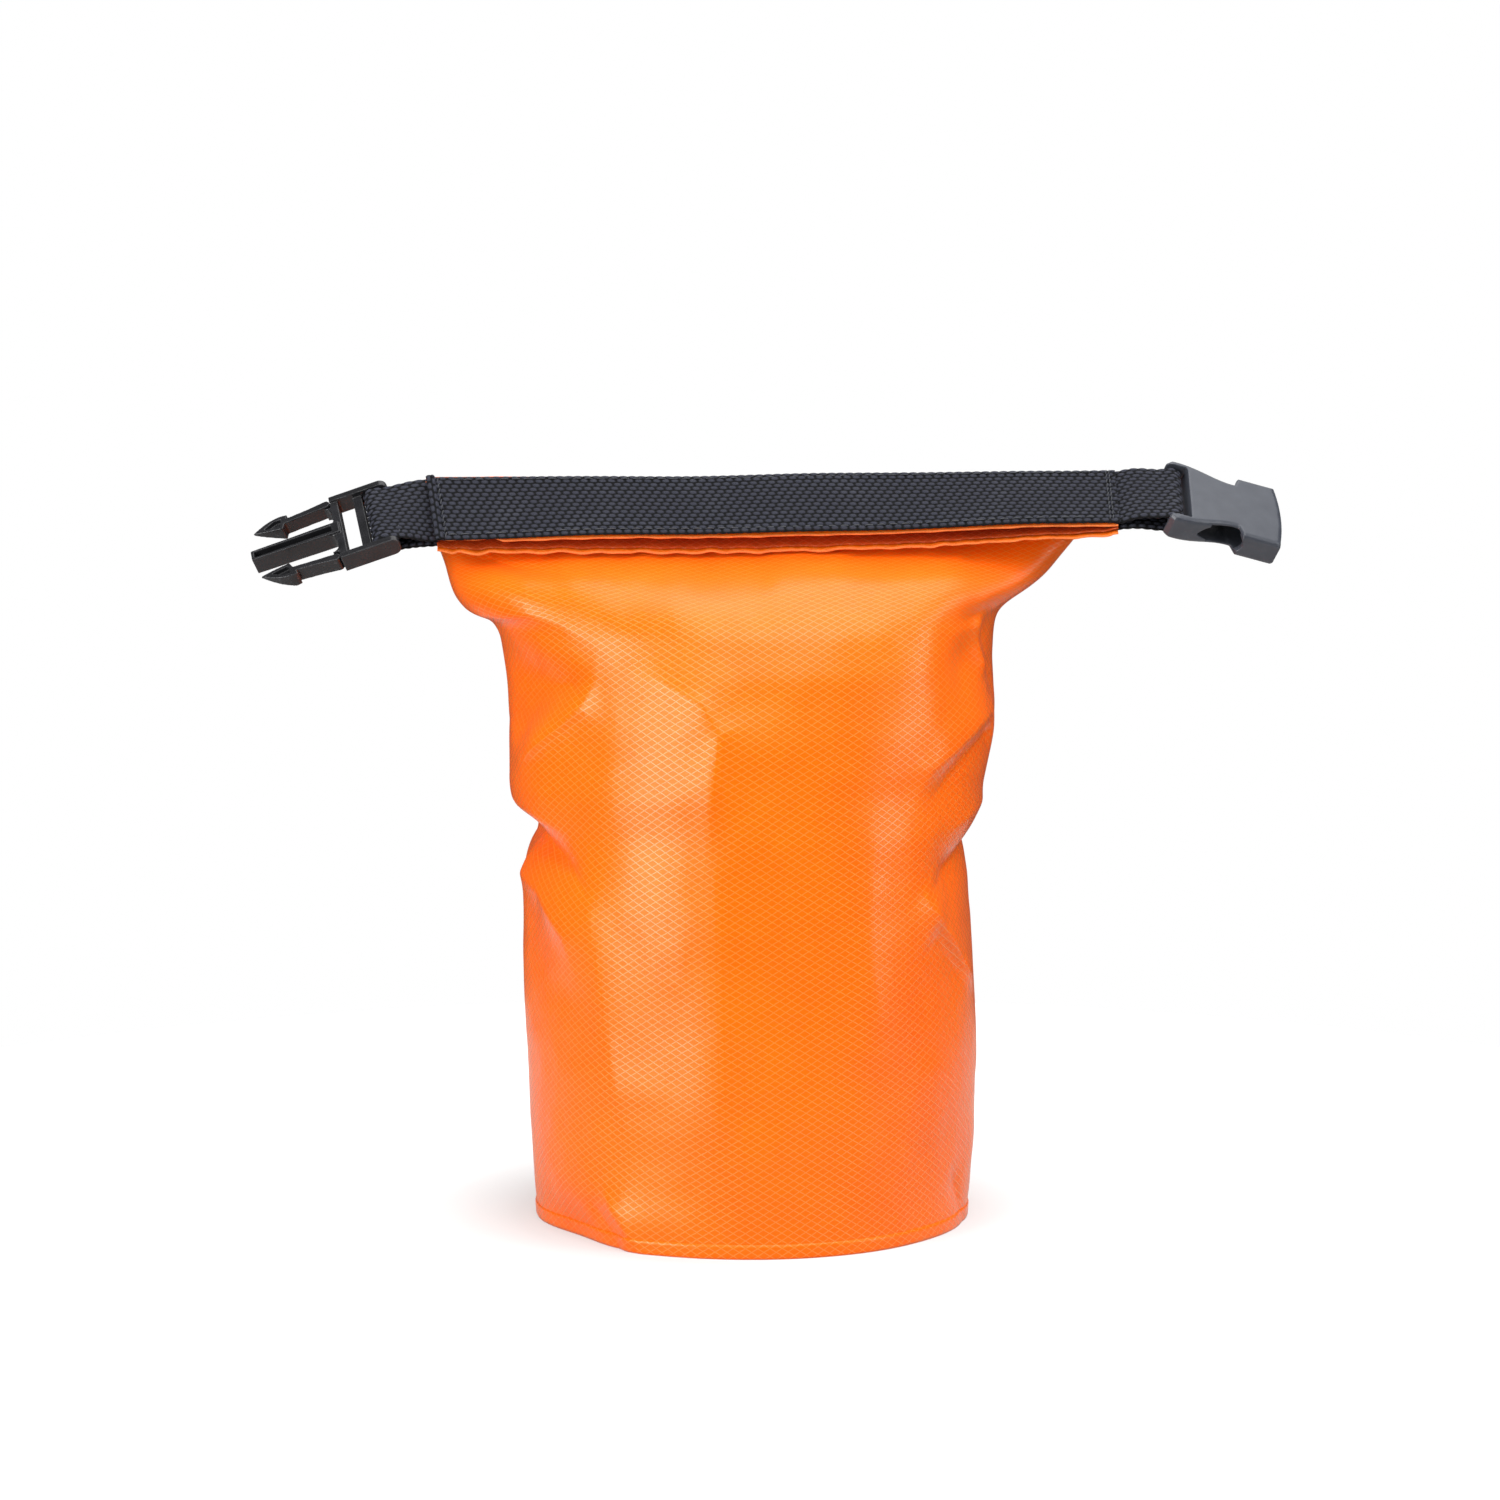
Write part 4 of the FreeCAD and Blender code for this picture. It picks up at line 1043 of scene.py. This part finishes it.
for moulding_name in ("plug_frame", "plug_upper_latch", "plug_lower_latch"):
    soften_moulding(moulding_name, PLUG_PLASTIC, 0.22 * MM, 3)
soften_moulding("socket_shell", SOCKET_PLASTIC, 0.26 * MM, 5)


# ---------------------------------------------------------------- studio
FLOOR_RADIUS = 0.45


def studio_floor():
    """A round pale floor that the camera sees run out into the white surroundings, with a painted shadow round
    the bag's foot.
    """
    n = Nodes("studio_floor")
    place = n.coordinates()
    tone = n.mix(n.ramp(n.noise(place, 3.0), 0.3, 0.7), (0.37, 0.37, 0.37, 1), (0.39, 0.39, 0.39, 1))
    n.feed(n.shader, "Base Color", tone)
    for socket, value in (("Roughness", 1.0), ("Specular IOR Level", 0.0), ("Emission Color", (1, 1, 1, 1))):
        n.shader.inputs[socket].default_value = value
    # brighter for the camera than for the bag, and brighter still away from the bag's foot: the dimmer ring
    # round the foot is a painted contact shadow
    seen = n.add("LightPath").outputs["Is Camera Ray"]
    split = n.add("SeparateXYZ", in_0=place)
    squares = [n.math("POWER", split.outputs[axis], 2.0) for axis in (0, 1)]
    away = n.ramp(n.math("SQRT", n.plus(*squares)), 0.078, 0.13)
    bright = n.plus(0.34, n.times(away, 0.30))
    n.feed(n.shader, "Emission Strength", n.plus(0.10, n.times(seen, bright)))
    mesh = bpy.data.meshes.new("studio_floor")
    angles = [FULL_TURN * k / 96 for k in range(96)]
    rim = [(FLOOR_RADIUS * math.cos(angle), FLOOR_RADIUS * math.sin(angle), 0) for angle in angles]
    mesh.from_pydata(rim, [], [list(range(96))])
    mesh.materials.append(n.material)
    linked_piece("studio_floor", mesh)


def face_along(lamp, direction):
    """Turns a lamp to shine along a direction."""
    lamp.rotation_euler = direction.to_track_quat("-Z", "Y").to_euler()


def soft_light(name, place, size, power):
    """A rectangular studio light that faces the middle of the object."""
    light = bpy.data.lights.new(name, "AREA")
    light.shape = "RECTANGLE"
    light.size, light.size_y = size
    light.energy = power
    lamp = linked_piece(name, light)
    lamp.location = place
    face_along(lamp, Vector(OBJECT_MIDDLE) - Vector(place))
    return lamp


def sun(name, place, strength, spread):
    """Broad, even light from one side of the sky; spread is its width in degrees."""
    light = bpy.data.lights.new(name, "SUN")
    light.energy = strength
    light.angle = math.radians(spread)
    face_along(linked_piece(name, light), -Vector(place))


def surroundings():
    """White to the camera, soft fill on matt surfaces, little of it in the gloss."""
    world = bpy.data.worlds.new("studio")
    bpy.context.scene.world = world
    world.use_nodes = True
    tree = world.node_tree
    background = tree.nodes["Background"]
    background.inputs[0].default_value = (1, 1, 1, 1)
    ray = tree.nodes.new("ShaderNodeLightPath")
    seen, fill, total = (tree.nodes.new("ShaderNodeMath") for _ in range(3))
    for node, kind, share, least in ((seen, "Is Camera Ray", 0.95, 0.05), (fill, "Is Diffuse Ray", 0.17, 0.0)):
        node.operation = "MULTIPLY_ADD"
        tree.links.new(ray.outputs[kind], node.inputs[0])
        node.inputs[1].default_value = share
        node.inputs[2].default_value = least
    tree.links.new(seen.outputs[0], total.inputs[0])
    tree.links.new(fill.outputs[0], total.inputs[1])
    tree.links.new(total.outputs[0], background.inputs[1])


def studio_camera():
    """The photograph's view: level with the lower part of the mouth, looking a little down."""
    camera = bpy.data.cameras.new("camera")
    camera.sensor_width = 36.0
    camera.lens = 86.4
    camera.clip_start = 0.01
    camera.clip_end = 50.0
    view = linked_piece("camera", camera)
    view.location = (0.0, -1.2, 0.265)
    view.rotation_euler = (math.radians(90 - LOOK_DOWN), 0, 0)
    bpy.context.scene.camera = view


OBJECT_MIDDLE = (0, 0, 0.14)
LOOK_DOWN = 5.17              # degrees
studio_floor()
surroundings()
sun("sun_top", (0.10, -0.70, 0.78), 0.78, 45)
soft_light("key_left", (-0.80, -0.82, 0.38), (0.58, 1.05), 13.5)
soft_light("fill_right", (1.08, -0.46, 0.44), (0.26, 0.90), 3.9)
soft_light("top", (0.18, 0.0, 1.0), (1.3, 0.85), 6.0)
soft_light("top_fill", (0.28, -0.25, 1.0), (1.1, 0.85), 8.5).visible_glossy = False
soft_light("back", (0.0, 1.1, 0.9), (1.6, 0.9), 2.0)
bpy.context.scene.view_settings.view_transform = "Standard"
studio_camera()
